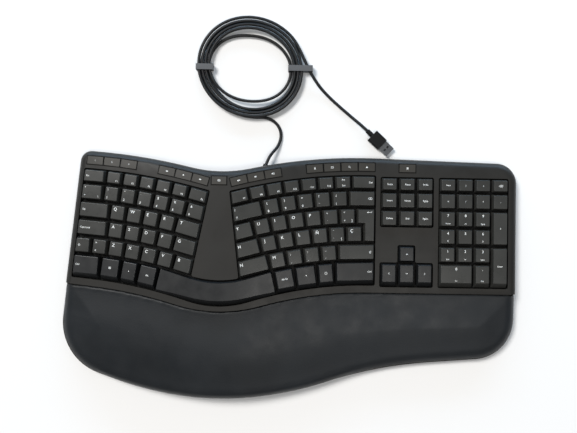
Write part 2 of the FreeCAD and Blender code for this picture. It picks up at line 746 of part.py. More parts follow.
def fan_keys(side, row, spans, chosen=slice(None)):
    """Keys of one row in a fan, from their start and end along the arc; chosen picks some of them."""
    fan = LEFT_FAN if side == "left" else RIGHT_FAN
    radius = (S.left_top_row if side == "left" else S.right_top_row) - ROW_DROPS[row]
    inner = None if row == BOTTOM_ROW else TONGUE_WALLS[side]
    first, last = (LEFT_WALL, inner) if side == "left" else (inner, RIGHT_WALL)
    keys = []
    for index in range(len(spans))[chosen]:
        start, end = spans[index]
        walls = (first if index == 0 else None, last if index == len(spans) - 1 else None)
        place = fan_place(fan, radius, (start + end) / 2)
        keys.append(key(place, end - start, ROW_DEPTHS[row], front_taper(row), walls))
    return keys


def straight_key(x_low, x_high, y_low, y_high, row):
    place = on_deck((x_low + x_high) / 2, (y_low + y_high) / 2, 0.0)
    return key(place, x_high - x_low, y_high - y_low, front_taper(row))


def standard_spans(first, count, pitch):
    half = (pitch - S.key_gap) / 2
    return [(first + index * pitch - half, first + index * pitch + half) for index in range(count)]


# Each fan row: the arc where its first standard key sits, and how many it has
LEFT_ROWS = [(69.6, 5), (67.3, 5), (74.7, 4), (72.9, 4), (55.1, 5)]
RIGHT_ROWS = [(-119.6, 6), (-104.4, 5), (-114.2, 6), (-106.6, 6), (-96.6, 4)]
LEFT_BOTTOM_WIDTHS = [21.2, 17.4, 20.2]
RIGHT_BOTTOM_WIDTHS = [20.6, 22.2, 17.2]


def row_spans(side, row):
    """All spans of a fan row; the end keys reach the walls of the well."""
    if side == "left":
        fan, radius = LEFT_FAN, S.left_top_row - ROW_DROPS[row]
        start = arc_at(fan, radius, LEFT_SIDE, S.left_block_inset + S.well_margin)
        end = arc_at(fan, radius, TONGUE_LEFT, -S.well_margin)
        first, count = LEFT_ROWS[row]
        middle = standard_spans(first, count, S.left_pitch)
    else:
        fan, radius = RIGHT_FAN, S.right_top_row - ROW_DROPS[row]
        start = arc_at(fan, radius, TONGUE_RIGHT, S.well_margin)
        end = S.right_block_x - S.well_margin - S.right_fan_x
        first, count = RIGHT_ROWS[row]
        middle = standard_spans(first, count, S.right_pitch)
    return ([(start, middle[0][0] - S.key_gap)] + middle + [(middle[-1][1] + S.key_gap, end)])


def bottom_spans(side):
    """Spans beside the space bar, counted outwards from it."""
    spans = []
    if side == "left":
        radius = S.left_top_row - BOTTOM
        start = arc_at(LEFT_FAN, radius, LEFT_SIDE, S.left_block_inset + S.well_margin)
        edge = S.bar_left_arc - S.key_gap
        for width in reversed(LEFT_BOTTOM_WIDTHS):
            spans.insert(0, (edge - width, edge))
            edge -= width + S.key_gap
        return [(start, edge)] + spans
    edge = S.bar_right_arc + S.key_gap
    for width in RIGHT_BOTTOM_WIDTHS:
        spans.append((edge, edge + width))
        edge += width + S.key_gap
    return spans + [(edge, S.right_block_x - S.well_margin - S.right_fan_x)]


def publish_keys(name, solids):
    publish(name, solids[0] if len(solids) == 1 else Part.makeCompound(solids))


def make_fan_keys():
    left = {row: fan_keys("left", row, row_spans("left", row)) for row in range(5)}
    publish_keys("keys_function_left", left[0])
    publish_keys("keys_number_left", left[1])
    publish_keys("key_tab", left[2][:1])
    publish_keys("keys_upper_left", left[2][1:])
    publish_keys("key_caps_lock", left[3][:1])
    publish_keys("keys_home_left", left[3][1:])
    publish_keys("key_shift_left", left[4][:1])
    publish_keys("keys_lower_left", left[4][1:])
    publish_keys("keys_bottom_left", fan_keys("left", BOTTOM_ROW, bottom_spans("left")))

    spans = {row: row_spans("right", row) for row in range(5)}
    publish_keys("keys_function_right", fan_keys("right", 0, spans[0]))
    but_last, only_last = slice(None, -1), slice(-1, None)
    publish_keys("keys_number_right", fan_keys("right", 1, spans[1], but_last))
    publish_keys("key_backspace", fan_keys("right", 1, spans[1], only_last))
    publish_keys("keys_upper_right", fan_keys("right", 2, spans[2], but_last))
    publish_keys("keys_home_right", fan_keys("right", 3, spans[3], but_last))
    publish_keys("keys_lower_right", fan_keys("right", 4, spans[4], but_last))
    publish_keys("key_shift_right", fan_keys("right", 4, spans[4], only_last))
    publish_keys("keys_bottom_right", fan_keys("right", BOTTOM_ROW, bottom_spans("right")))
    make_enter(spans[2][-1][0], spans[3][-1][0], spans[2][-1][1])


def make_enter(upper_start, lower_start, end):
    """The tall enter key: its upper half reaches further left than its lower half."""
    upper = S.right_top_row - ROW_DROPS[2]
    lower = S.right_top_row - ROW_DROPS[3]
    half = S.key_depth / 2
    middle = RIGHT_FAN + Vector((upper_start + end) / 2, (upper + lower) / 2, 0)
    top, foot = (upper - lower) / 2 + half, (lower - upper) / 2 - half
    step = (upper - lower) / 2 - half
    left = (upper_start - end) / 2
    notch = left + lower_start - upper_start
    points = [Vector(notch, foot, 0), Vector(-left, foot, 0), Vector(-left, top, 0),
              Vector(left, top, 0), Vector(left, step, 0), Vector(notch, step, 0)]
    cap = frustum(points, [S.key_side_taper] * 6, -S.key_sink, S.key_rise)
    place = on_deck(middle.x, middle.y, 0.0)
    publish_keys("key_enter", [placed(cap.fuse(stem(place, S.enter_stem_shift)).removeSplitter(), place)])


def make_straight_keys():
    def nav(column, row):
        x = S.nav_x + column * S.nav_pitch
        return straight_key(x - HALF, x + HALF, row_front(row), row_back(row), row)

    def pad(column, row, columns=1, last_row=None):
        x_low = S.pad_first_x + column * S.pad_pitch - HALF
        x_high = S.pad_first_x + (column + columns - 1) * S.pad_pitch + HALF
        last = row if last_row is None else last_row
        return straight_key(x_low, x_high, row_front(last), row_back(row), last)

    for row, name in enumerate(("keys_nav_top", "keys_nav_middle", "keys_nav_bottom")):
        publish_keys(name, [nav(column, row) for column in (-1, 0, 1)])
    publish_keys("key_arrow_up", [nav(0, 4)])
    for column, name in ((-1, "key_arrow_left"), (0, "key_arrow_down"), (1, "key_arrow_right")):
        publish_keys(name, [nav(column, 5)])
    publish_keys("keys_pad_function", [pad(column, 0) for column in range(4)])
    publish_keys("keys_pad_operators", [pad(column, 1) for column in range(4)])
    for row, name in ((2, "keys_pad_789"), (3, "keys_pad_456"), (4, "keys_pad_123")):
        publish_keys(name, [pad(column, row) for column in range(3)])
    publish_keys("key_pad_plus", [pad(3, 2, last_row=3)])
    publish_keys("key_pad_enter", [pad(3, 4, last_row=5)])
    publish_keys("key_pad_zero", [pad(0, 5, columns=2)])
    publish_keys("key_pad_decimal", [pad(2, 5)])


def make_space_bar():
    """One curved bar under both thumbs, with a long sloping front."""
    left_radius = S.left_top_row - BOTTOM
    right_radius = S.right_top_row - BOTTOM
    left_turn = S.bar_left_arc / left_radius
    right_turn = S.bar_right_arc / right_radius

    def bar_face(grow_back, grow_front, grow_ends):
        left_line = (LEFT_FAN + Vector(-grow_ends, 0, 0), Vector(math.sin(left_turn), math.cos(left_turn), 0))
        right_line = (RIGHT_FAN + Vector(grow_ends, 0, 0),
                      Vector(math.sin(right_turn), math.cos(right_turn), 0))
        back = BAR_BACK - grow_back
        front = BAR_FRONT + grow_front
        left_x = LEFT_FAN.x + left_radius * math.sin(left_turn)
        right_x = RIGHT_FAN.x + right_radius * math.sin(right_turn)
        back_corners = curve_across(back, S.front_valley_round, left_x, right_x)
        front_corners = curve_across(front, S.front_valley_round, left_x, right_x)
        return outline_face([
            (meet(left_line, left_tangent(front, left_x)), S.key_corner),
            front_corners[1],
            (meet(right_line, right_tangent(front, right_x)), S.key_corner),
            (meet(right_line, right_tangent(back, right_x)), S.key_corner),
            back_corners[1],
            (meet(left_line, left_tangent(back, left_x)), S.key_corner),
        ])

    crest = deck_point(S.deck_crest_x, LEFT_FAN.y + left_radius).z

    def wedge(drop, insets_at_drop, insets_at_top):
        """Sloping sides whose insets (back, front, ends) are given at the top and so far below it."""
        faces = []
        for share in (-1.0, 1.0):
            reach = S.bar_wedge_reach * share
            insets = [top + (top - foot) * reach / drop for foot, top in zip(insets_at_drop, insets_at_top)]
            face = bar_face(*[-amount for amount in insets])
            face.translate(Vector(0, 0, crest + S.key_rise + reach))
            faces.append(face.OuterWire)
        return Part.makeLoft(faces, True, True)

    side = S.key_side_taper
    sides = wedge(S.key_rise + S.key_sink, (0, 0, 0), (side, S.deep_key_front_taper, side))
    brow = wedge(S.bar_front_drop, (S.bar_back_bevel - S.bar_front_drop, S.bar_front_start, 0),
                 (S.bar_back_bevel, S.bar_front_inset, side))
    slab = below(-S.key_rise).cut(below(S.key_sink))
    cap = prism(bar_face(0, 0, 0), 0, TOP).common(slab).common(sides).common(brow)
    middle_y = LEFT_FAN.y + math.sqrt(left_radius ** 2 - (S.deck_crest_x - LEFT_FAN.x) ** 2)
    place = on_deck(S.deck_crest_x, middle_y + S.row_step_bottom / 4, 0.0)
    outer = [fan_place(LEFT_FAN, left_radius, S.bar_left_arc + S.key_depth),
             fan_place(RIGHT_FAN, right_radius, S.bar_right_arc - S.key_depth)]
    stems = [placed(stem(place), place)]
    for spot in outer:
        turned = Placement(spot.Base, place.Rotation)
        stems.append(placed(stem(turned), turned))
    solid = cap.fuse(stems).removeSplitter()
    publish_keys("space_bar", [solid.Solids[0]])


# Flush buttons behind the function row

BUTTON_HOLES = []


def flush_button(place, width=None):
    width = S.button_width if width is None else width
    depth = S.button_depth
    gap = S.button_gap
    lip = S.button_lip
    side_lip = S.button_side_lip
    low = S.wall + S.seat_gap
    bottom = -low - S.button_travel
    BUTTON_HOLES.append(placed(Part.makeBox(
        width + 2 * gap, depth + 2 * gap, S.wall - bottom,
        Vector(-width / 2 - gap, -depth / 2 - gap, bottom)), place))
    cap = Part.makeBox(width, depth, low + S.button_rise, Vector(-width / 2, -depth / 2, -low))
    flange = Part.makeBox(width + 2 * side_lip, depth + 2 * lip, S.button_lip_height,
                          Vector(-width / 2 - side_lip, -depth / 2 - lip, -low - S.button_lip_height))
    return placed(cap.fuse(flange).removeSplitter(), place)


def make_buttons():
    left = S.left_top_row + S.media_margin
    right = S.right_top_row + S.media_margin
    pitch = S.button_pitch
    favorites = [flush_button(fan_place(LEFT_FAN, left, S.favorites_arc + index * pitch))
                 for index in range(3)]
    media = [flush_button(fan_place(LEFT_FAN, left, S.media_left_arc + index * pitch))
             for index in range(3)]
    valley = curve_across(-S.media_margin, S.back_valley_round)[1][0]
    middle = on_deck(valley.x - S.media_middle_shift, valley.y + S.media_middle_lift, 0.0)
    media.append(flush_button(middle, S.media_middle_width))
    media += [flush_button(fan_place(RIGHT_FAN, right, S.media_right_arc + index * pitch))
              for index in range(3)]
    shortcut = [flush_button(fan_place(RIGHT_FAN, right, S.shortcut_arc + index * S.shortcut_pitch))
                for index in range(4)]
    calculator_y = RIGHT_FAN.y + math.sqrt(right ** 2 - (S.nav_x - RIGHT_FAN.x) ** 2)
    calculator = flush_button(on_deck(S.nav_x, calculator_y + S.calculator_lift, 0.0))
    publish_keys("buttons_favorites", favorites)
    publish_keys("buttons_media", media)
    publish_keys("buttons_shortcut", shortcut)
    publish_keys("button_calculator", [calculator])


make_fan_keys()
make_straight_keys()
make_space_bar()
make_buttons()


# Places of the screws; the first four stand under the deck and the rest under the palm rest

BACK_POST_XS = (-153.0, 3.0, 107.5, 205.0)
PALM_POSTS = (Vector(-222, -58, 0), Vector(-98, -108, 0), Vector(45, -96, 0), Vector(222, -52, 0))


def screw_places():
    places = []
    for x in BACK_POST_XS:
        fan = LEFT_FAN if x < S.deck_crest_x else RIGHT_FAN
        radius = (S.left_top_row if fan is LEFT_FAN else S.right_top_row) + S.media_margin + S.screw_set_back
        line = tangent(fan, radius, min(x, S.fan_right_x))
        places.append(meet(line, (Vector(x, 0, 0), UP)))
    return places + list(PALM_POSTS)


SCREWS = screw_places()
FLOOR = S.base_height + S.floor_thickness
SCREW_SEAT = S.parting_height - S.screw_web


def rod(width, low, high, place, sides=8):
    """An upright post with flat sides; the width is across the corners."""
    points = [Vector(place.x + width / 2 * math.cos(angle), place.y + width / 2 * math.sin(angle), low)
              for angle in (math.tau * (index + 0.5) / sides for index in range(sides))]
    face = Part.Face(Part.makePolygon(points + points[:1]))
    return face.extrude(Vector(0, 0, high - low))


def hole(width, low, high, place, sides=8):
    """The hole in which a rod of this width and the same sides fits snugly."""
    return rod(width + 2 * S.screw_gap / math.cos(math.pi / sides), low, high, place, sides)


# Top case: the deck, the wells with their skirts, and the shelf under the cushion

def make_top_case():
    low = S.parting_height + S.parting_gap
    deck = round_rim(prism(case_face, low, TOP).common(below(0)), case_face, S.rim_round, low + 1)
    deck = deck.common(prism(behind(SEAM), 0, TOP))
    shelf_inset = S.pad_thickness + S.pad_gap
    shelf_face = inset(case_face, shelf_inset)
    shelf_drop = S.pad_sink + S.pad_thickness + S.pad_gap
    shelf = round_rim(prism(shelf_face, low, TOP).common(below(shelf_drop, PALM_FALL)),
                      shelf_face, S.shelf_round, low + 1, fine=False)
    in_front = prism(behind(SEAM - S.wall), 0, TOP)
    shelf = shelf.cut(in_front)
    ledge = prism(case_face, low, S.pad_lip_height - S.pad_gap).cut(in_front)
    outer = deck.fuse([shelf, ledge])

    cavity_face = inset(case_face, S.wall)
    deck_hollow = round_rim(prism(cavity_face, 0, TOP).common(below(S.wall)), cavity_face,
                            S.hollow_round, low + 1, fine=False)
    deck_hollow = deck_hollow.common(prism(behind(SEAM - S.wall), 0, TOP))
    hollow_inset = shelf_inset + S.wall
    hollow_face = inset(case_face, hollow_inset)
    palm_hollow = round_rim(
        prism(hollow_face, 0, TOP).common(below(shelf_drop + S.wall, PALM_FALL)),
        hollow_face, S.shelf_round - S.wall, low + 1, fine=False)
    palm_hollow = palm_hollow.cut(prism(behind(SEAM - 2 * S.wall), 0, TOP))
    case = outer.cut([deck_hollow, palm_hollow])

    skin = below(S.wall / 2).cut(below(S.guide_drop - S.seat_gap))
    case = case.fuse([prism(collar, 0, TOP).common(skin) for collar in wells(S.skirt)])
    posts = []
    for index, place in enumerate(SCREWS):
        roof = below(S.wall / 2) if index < len(BACK_POST_XS) else below(
            shelf_drop + S.wall / 2, PALM_FALL)
        posts.append(rod(S.post_width, low, TOP, place).common(roof))
    case = case.fuse(posts)
    case = case.cut([prism(opening, -1, TOP + 1) for opening in wells()])
    case = case.cut(BUTTON_HOLES)
    pilots = [hole(S.screw_width, 0, SCREW_SEAT + S.screw_length + S.screw_end_room, place)
              for place in SCREWS]
    case = case.cut(pilots)
    case = case.cut(gland_hole())
    publish("top_case", case.removeSplitter())


def make_palm_rest():
    """A thin cushion that wraps over the shelf and rolls down the front."""
    body = prism(case_face, 0, TOP).common(below(S.pad_sink, PALM_FALL))
    seam_face = behind(SEAM + S.pad_gap)
    body = round_rim(body.cut(prism(seam_face, -1, TOP)), case_face, S.pad_round, 1)
    seam_edges = rim_edges(body, seam_face.OuterWire, 0, S.pad_lip_height)
    body = body.makeChamfer(S.pad_seam_bevel, seam_edges)
    inner_face = inset(case_face, S.pad_thickness)
    inner = round_rim(
        prism(inner_face, 0, TOP).common(below(S.pad_sink + S.pad_thickness, PALM_FALL)),
        inner_face, S.shelf_round + S.pad_gap, 1, fine=False)
    publish("palm_rest", body.cut([inner, prism(case_face, -1, S.pad_lip_height)]))


# Layers below the keys

def stack_face(shrink=0.0):
    """Outline of the layers: straight pieces along both fans."""
    back = -WELL_BACK - S.guide_reach + shrink
    front = WELL_FRONT + S.guide_reach - shrink
    left = beside(LEFT_SIDE, S.left_block_inset - S.guide_reach + shrink)
    right = (Vector(PAD_RIGHT + S.well_margin + S.guide_reach - shrink, 0, 0), UP)
    middle_x = (S.fan_left_x + S.valley_left_x) / 2
    level = (right_tangent(front, S.right_fan_x)[0], Vector(1, 0, 0))

    up = valley_up(front)
    valley_foot = valley_centre(front, S.front_valley_round) - up * S.front_valley_round
    across_valley = (valley_foot, Vector(up.y, -up.x, 0))

    def chain(drop):
        lines = [left, left_tangent(drop), left_tangent(drop, middle_x),
                 left_tangent(drop, S.valley_left_x)]
        if drop > 0:
            lines.append(across_valley)
        lines += [right_tangent(drop, S.valley_right_x), right_tangent(drop, 0),
                  level if drop > 0 else right_tangent(drop), right]
        return [(meet(*pair), 0) for pair in zip(lines, lines[1:])]

    face = outline_face(chain(front) + chain(back)[::-1])
    return face.common(behind(SEAM - S.wall - S.plate_gap - shrink)).Faces[0]


def layer(face, drop, thickness):
    return prism(face, -20, TOP).common(below(drop)).cut(below(drop + thickness))


def make_layers():
    face = stack_face()
    plate = layer(face, S.guide_drop, S.guide_thickness)
    rim = layer(face, S.guide_drop + S.guide_thickness,
                S.dome_drop - S.guide_drop - S.guide_thickness)
    rim = rim.cut(prism(stack_face(S.guide_rim), -20, TOP))
    plate = plate.fuse(rim).removeSplitter()
    publish("key_plate", plate.cut(GUIDES))
    drop = S.dome_drop
    for index, (name, thickness) in enumerate((
            ("dome_sheet", S.dome_thickness), ("membrane", S.membrane_thickness),
            ("backing_plate", S.backing_thickness))):
        publish(name, layer(stack_face(index * S.layer_inset), drop, thickness))
        drop += thickness


# Bottom case with screw bosses, foot recesses and the pockets of the tilt feet

TILT_HEIGHT = S.base_height + S.tilt_thickness / 2 + S.tilt_sink
TILT_PLACES = {"tilt_foot_left": Vector(S.tilt_left_x, S.tilt_left_y, TILT_HEIGHT),
               "tilt_foot_right": Vector(S.tilt_right_x, S.tilt_right_y, TILT_HEIGHT)}
FOOT_PADS = [Vector(-196, 106, 0), Vector(28, 112, 0), Vector(206, 108, 0), Vector(-96, -122, 0),
             Vector(108, -90, 0), Vector(-224, -30, 0), Vector(222, -30, 0)]


def pad_box(place, grow, low, high):
    length, width = S.foot_pad_length + 2 * grow, S.foot_pad_width + 2 * grow
    return Part.makeBox(length, width, high - low,
                        Vector(place.x - length / 2, place.y - width / 2, low))


def tilt_pocket(place, grow, low, high):
    """The room that a folded tilt foot takes, grown by a wall where grow is more."""
    half = S.tilt_width / 2 + S.tilt_gap + grow
    front = S.tilt_thickness / 2 + S.tilt_gap + grow
    back = S.tilt_length + S.tilt_gap + grow
    return Part.makeBox(2 * half, front + back, high - low,
                        Vector(place.x - half, place.y - front, low))


def make_bottom_case():
    face = inset(case_face, S.base_inset)
    shell = prism(face, S.base_height, S.parting_height)
    edges = [edge for edge in shell.Edges
             if max(abs(point.z - S.base_height) for point in edge.discretize(3)) < 1e-6]
    shell = shell.makeChamfer(S.base_bevel, edges)
    shell = shell.cut(prism(inset(face, S.wall + S.base_bevel / 2), FLOOR, TOP))
    roof = TILT_HEIGHT + S.tilt_thickness / 2 + S.tilt_gap
    pocket_wall = S.tilt_pin_length + S.tilt_cheek
    additions = [rod(S.boss_width, S.base_height, S.parting_height, place) for place in SCREWS]
    additions += [tilt_pocket(place, pocket_wall, S.base_height, S.parting_height)
                  for place in TILT_PLACES.values()]
    additions += [rod(S.board_post_width, S.base_height, S.board_height,
                      Vector(S.board_x + side * S.board_post_spread, S.board_y, 0))
                  for side in (-1, 1)]
    shell = shell.fuse(additions)
    cuts = [tilt_pocket(place, 0, 0, roof) for place in TILT_PLACES.values()]
    for place in TILT_PLACES.values():
        reach = S.tilt_width / 2 + S.tilt_pin_length + S.tilt_gap
        cuts.append(Part.makeCylinder(S.tilt_pin_width / 2 + S.tilt_pin_gap, 2 * reach,
                                      place - Vector(reach, 0, 0), Vector(1, 0, 0)))
    for place in SCREWS:
        cuts.append(hole(S.screw_head_width, 0, SCREW_SEAT, place))
        cuts.append(hole(S.screw_width, 0, TOP, place))
    cuts += [pad_box(place, S.seat_gap, 0, S.base_height + S.foot_pad_recess) for place in FOOT_PADS]
    publish("bottom_case", shell.cut(cuts).removeSplitter())


def make_rubber_feet():
    publish("rubber_feet", Part.makeCompound(
        [pad_box(place, 0, 0, S.base_height + S.foot_pad_recess) for place in FOOT_PADS]))


def make_screws():
    screws = []
    for place in SCREWS:
        head = rod(S.screw_head_width, SCREW_SEAT - S.screw_head_height, SCREW_SEAT, place)
        shank = rod(S.screw_width, SCREW_SEAT - S.screw_head_height / 2, SCREW_SEAT + S.screw_length, place)
        screws.append(head.fuse(shank).removeSplitter())
    publish("case_screws", Part.makeCompound(screws))


# Cord outlet

GLAND_WAY = Vector(math.sin(math.radians(S.gland_turn)), math.cos(math.radians(S.gland_turn)), 0)
GLAND = Vector(S.gland_x, S.gland_y, S.gland_height)


def gland_hole():
    width = S.gland_width + 2 * S.seat_gap
    return Part.makeCylinder(width / 2, 20, GLAND - GLAND_WAY * 12, GLAND_WAY)


def bind(thing, **sizes):
    for prop, expression in sizes.items():
        thing.setExpression(prop, expression)


def make_strain_relief():
    neck = doc.addObject("Part::Prism", "relief_neck")
    bind(neck, Circumradius="Sizes.gland_width / 2",
         Height="Sizes.wall + Sizes.gland_depth + Sizes.gland_reach")
    flange = doc.addObject("Part::Prism", "relief_flange")
    bind(flange, Circumradius="Sizes.gland_flange_width / 2", Height="Sizes.gland_flange_height")
    neck.Polygon = flange.Polygon = 12
    bind(flange, **{"Placement.Base.z": "-Sizes.gland_flange_height"})
    relief = doc.addObject("Part::Fuse", "cord_strain_relief")
    relief.Label = "cord_strain_relief"
    relief.Base = neck
    relief.Tool = flange
    back_off = S.wall + S.gland_depth
    relief.Placement = Placement(GLAND - GLAND_WAY * back_off, Rotation(Vector(0, 0, 1), GLAND_WAY))
    PARTS.append(relief)


# The cord: straight runs joined by tangent arcs, and a coil of loops

CORD_SIDES = 5


def section(start, along):
    """The cord's cross-section as a regular polygon, square to its path."""
    turn = Rotation(Vector(0, 0, 1), along)
    radius = S.cord_width / 2
    points = [start + turn.multVec(Vector(radius * math.cos(angle), radius * math.sin(angle), 0))
              for angle in (math.tau * (index + 0.5) / CORD_SIDES for index in range(CORD_SIDES))]
    return Part.makePolygon(points + points[:1])


def tube(edges, name):
    path = Part.Wire(edges)
    first = edges[0]
    start = first.valueAt(first.FirstParameter)
    along = first.tangentAt(first.FirstParameter)
    shell = path.makePipeShell([section(start, along)], True, False)
    area = CORD_SIDES / 2 * (S.cord_width / 2) ** 2 * math.sin(math.tau / CORD_SIDES)
    print("%s length %.1f volume ratio %.4f" % (name, path.Length, shell.Volume / (area * path.Length)))
    return shell


def route_edges(points, name):
    """Runs and arcs along a route; each arc is as large as its two runs allow."""
    corners = [(points[0], 0)]
    radii = []
    for before, point, after in zip(points, points[1:], points[2:]):
        turn = (point - before).getAngle(after - point)
        shorter = min(point.distanceToPoint(before), point.distanceToPoint(after))
        radius = 0.45 * shorter / math.tan(turn / 2)
        radii.append(radius)
        corners.append((point, radius))
    corners.append((points[-1], 0))
    print(name, "radii", " ".join("%.1f" % radius for radius in radii))
    return rounded_edges(corners, closed=False)


COIL = Vector(S.coil_x, S.coil_y, S.coil_height)
COIL_WAYS = (Vector(0, -1, 0), Vector(-1, 0, 0), Vector(0, 1, 0), Vector(1, 0, 0))
TURN_BACK = int(S.coil_down_quarters)
COIL_SLACKS = {TURN_BACK: S.coil_slack_back, TURN_BACK + 1: S.coil_slack_side,
               TURN_BACK + 2: S.coil_slack_front}


def coil_radius(quarter):
    """The lower layer runs inwards, then the upper layer runs outwards again."""
    if quarter <= TURN_BACK:
        return S.coil_outer + (S.coil_inner - S.coil_outer) * quarter / TURN_BACK
    return S.coil_inner + S.coil_pitch * max(quarter - TURN_BACK - 2, 0) / 4


def coil_stop(quarter):
    """Point of the coil after so many quarter turns from the front, and its direction."""
    radius = coil_radius(quarter) - COIL_SLACKS.get(quarter, 0.0)
    way = COIL_WAYS[quarter % 4]
    lean = 0.0
    if quarter % 2 == 0:
        radius -= S.coil_flat
        lean = -S.coil_lean * way.y
    climbed = min(max((quarter - TURN_BACK) / 2, 0), 1)
    along = Vector(way.y, -way.x, 0)
    if quarter == TURN_BACK + 1:
        along.z = 1.5 * S.coil_rise / (math.pi * radius)
    return COIL + way * radius + Vector(lean, 0, climbed * S.coil_rise), along.normalize()


def biarc(start, start_way, end, end_way):
    """Two arcs that join smoothly and meet both ends along their directions."""
    gap = end - start
    both = start_way + end_way
    a = 2 * (1 - start_way.dot(end_way))
    b = 2 * gap.dot(both)
    reach = (-b + math.sqrt(b * b + 4 * a * gap.dot(gap))) / (2 * a)
    joint = (start + start_way * reach + end - end_way * reach) * 0.5
    joint_way = (end - end_way * reach - joint).normalize()
    arcs = []
    for p, way, q in ((start, start_way, joint), (joint, joint_way, end)):
        chord = q - p
        side = (chord - way * chord.dot(way)).normalize()
        radius = chord.dot(chord) / (2 * chord.dot(side))
        centre = p + side * radius
        arcs.append(Part.Arc(p, centre + ((p + q) * 0.5 - centre).normalize() * radius, q).toShape())
    return arcs


def coil_gap(edges, per_turn):
    """Least gap between turns, measured on points along the path."""
    rings = []
    for edge in edges:
        rings += edge.discretize(17)[:-1]
    skip = per_turn // 2
    return min(one.distanceToPoint(other) for index, one in enumerate(rings)
               for other in rings[index + skip:]) - S.cord_width


def make_coil():
    stops = [coil_stop(quarter) for quarter in range(int(S.coil_quarters) + 1)]
    leave = math.radians(S.coil_leave_angle)
    radius = coil_radius(S.coil_quarters + 1 - S.coil_leave_angle / 90)
    stops.append((COIL + Vector(radius * math.cos(leave), radius * math.sin(leave), S.coil_rise),
                  Vector(math.sin(leave), -math.cos(leave), 0)))
    edges = []
    for (start, start_way), (end, end_way) in zip(stops, stops[1:]):
        edges += biarc(start, start_way, end, end_way)
    print("least gap of the coil to itself %.2f" % coil_gap(edges, 8 * 16))
    first, first_way = stops[0]
    last, last_way = stops[-1]
    start = first - first_way * S.cord_width
    end = last + last_way * S.cord_width
    edges = [Part.makeLine(start, first)] + edges + [Part.makeLine(last, end)]
    publish("cord_coil", tube(edges, "coil"))
    return start, end


LEAD_ROUTE = [(-25.0, 129.7, 10.95), (-21.4, 135.6, 9.0), (-16.9, 140.9, 5.6), (-13.2, 147.2, 2.9),
              (-11.2, 154.4, 1.8), (-11.9, 162.0, 1.8), (-15.6, 169.0, 2.0), (-21.9, 174.1, 2.4),
              (-29.8, 176.7, 3.0)]
TAIL_ROUTE = [(15.3, 236.5, 6.9), (20.6, 226.6, 6.2), (27.0, 216.4, 4.6), (34.8, 207.2, 2.9),
              (43.8, 198.6, 1.9), (53.4, 190.2, 1.8), (63.2, 182.0, 1.9), (72.0, 174.6, 2.7),
              (79.4, 168.5, 3.7)]


def make_cord():
    coil_start, coil_end = make_coil()
    outlet = GLAND + GLAND_WAY * S.gland_reach
    lead = [outlet] + [Vector(*point) for point in LEAD_ROUTE] + [coil_start]
    publish("cord_lead", tube(route_edges(lead, "lead"), "lead"))
    plug = Vector(S.plug_x, S.plug_y, S.plug_height)
    tail = [coil_end] + [Vector(*point) for point in TAIL_ROUTE] + [plug]
    publish("cord_tail", tube(route_edges(tail, "tail"), "tail"))


def make_ties():
    """Closed bands round both layers, one at each side of the coil."""
    grow = S.cord_width / 2 + S.tie_gap
    left_low = S.coil_x - coil_radius(S.coil_quarters - 1) - grow
    left_high = S.coil_x - coil_radius(TURN_BACK - 1) + 2 * S.coil_slack_side + grow
    right_low = S.coil_x + S.coil_inner - S.coil_slack_side - grow
    right_high = S.tie_right_x
    room_low = S.coil_height - S.cord_width / 2 - S.tie_gap
    room_high = S.coil_height + S.coil_rise + S.cord_width / 2 + S.tie_gap
    wall = S.tie_wall
    ties = []
    for x_low, x_high in ((left_low, left_high), (right_low, right_high)):
        y_low = S.coil_y - S.tie_length / 2
        block = Part.makeBox(x_high - x_low + 2 * wall, S.tie_length, room_high - room_low + 2 * wall,
                             Vector(x_low - wall, y_low, room_low - wall))
        room = Part.makeBox(x_high - x_low, S.tie_length + 2, room_high - room_low,
                            Vector(x_low, y_low - 1, room_low))
        ties.append(block.cut(room))
    publish("coil_ties", Part.makeCompound(ties))


# Bodies made from sketches

def origin_plane(body, role):
    return [feature for feature in body.Origin.OriginFeatures if feature.Role == role][0]


def rectangle_sketch(body, name, role, width, height, low_x, low_y):
    """A rectangle whose sizes and lower corner are bound to the sheet."""
    sketch = body.newObject("Sketcher::SketchObject", name)
    sketch.AttachmentSupport = [(origin_plane(body, role), "")]
    sketch.MapMode = "FlatFace"
    corners = [Vector(1, 1, 0), Vector(2, 1, 0), Vector(2, 2, 0), Vector(1, 2, 0)]
    for index in range(4):
        sketch.addGeometry(Part.LineSegment(corners[index], corners[(index + 1) % 4]), False)
    for index in range(4):
        sketch.addConstraint(Sketcher.Constraint("Coincident", index, 2, (index + 1) % 4, 1))
    for index, kind in enumerate(("Horizontal", "Vertical", "Horizontal", "Vertical")):
        sketch.addConstraint(Sketcher.Constraint(kind, index))
    bound = (
        ("DistanceX", (0, 1, 0, 2), width),
        ("DistanceY", (1, 1, 1, 2), height),
        ("DistanceX", (-1, 1, 0, 1), low_x),
        ("DistanceY", (-1, 1, 0, 1), low_y),
    )
    for kind, items, expression in bound:
        number = sketch.addConstraint(Sketcher.Constraint(kind, *items, 1.0))
        sketch.setExpression("Constraints[%d]" % number, expression)
    return sketch


def pad(body, sketch, name, length):
    feature = body.newObject("PartDesign::Pad", name)
    feature.Profile = sketch
    feature.setExpression("Length", length)
    return feature


def pocket(body, sketch, name, length):
    feature = body.newObject("PartDesign::Pocket", name)
    feature.Profile = sketch
    feature.setExpression("Length", length)
    feature.Reversed = True
    return feature


def new_body(name, placement):
    body = doc.addObject("PartDesign::Body", name)
    body.Label = name
    body.Placement = placement
    PARTS.append(body)
    return body


PLUG_WAY = Vector(math.cos(math.radians(S.plug_turn)), math.sin(math.radians(S.plug_turn)), 0)


def plug_placement(ahead):
    """Plug frame: Z along the plug, X across it, Y up or down."""
    base = Vector(S.plug_x, S.plug_y, S.plug_height) + PLUG_WAY * ahead
    return Placement(base, Rotation(Vector(0, 0, 1).cross(PLUG_WAY), Vector(0, 0, 1), PLUG_WAY, "ZXY"))


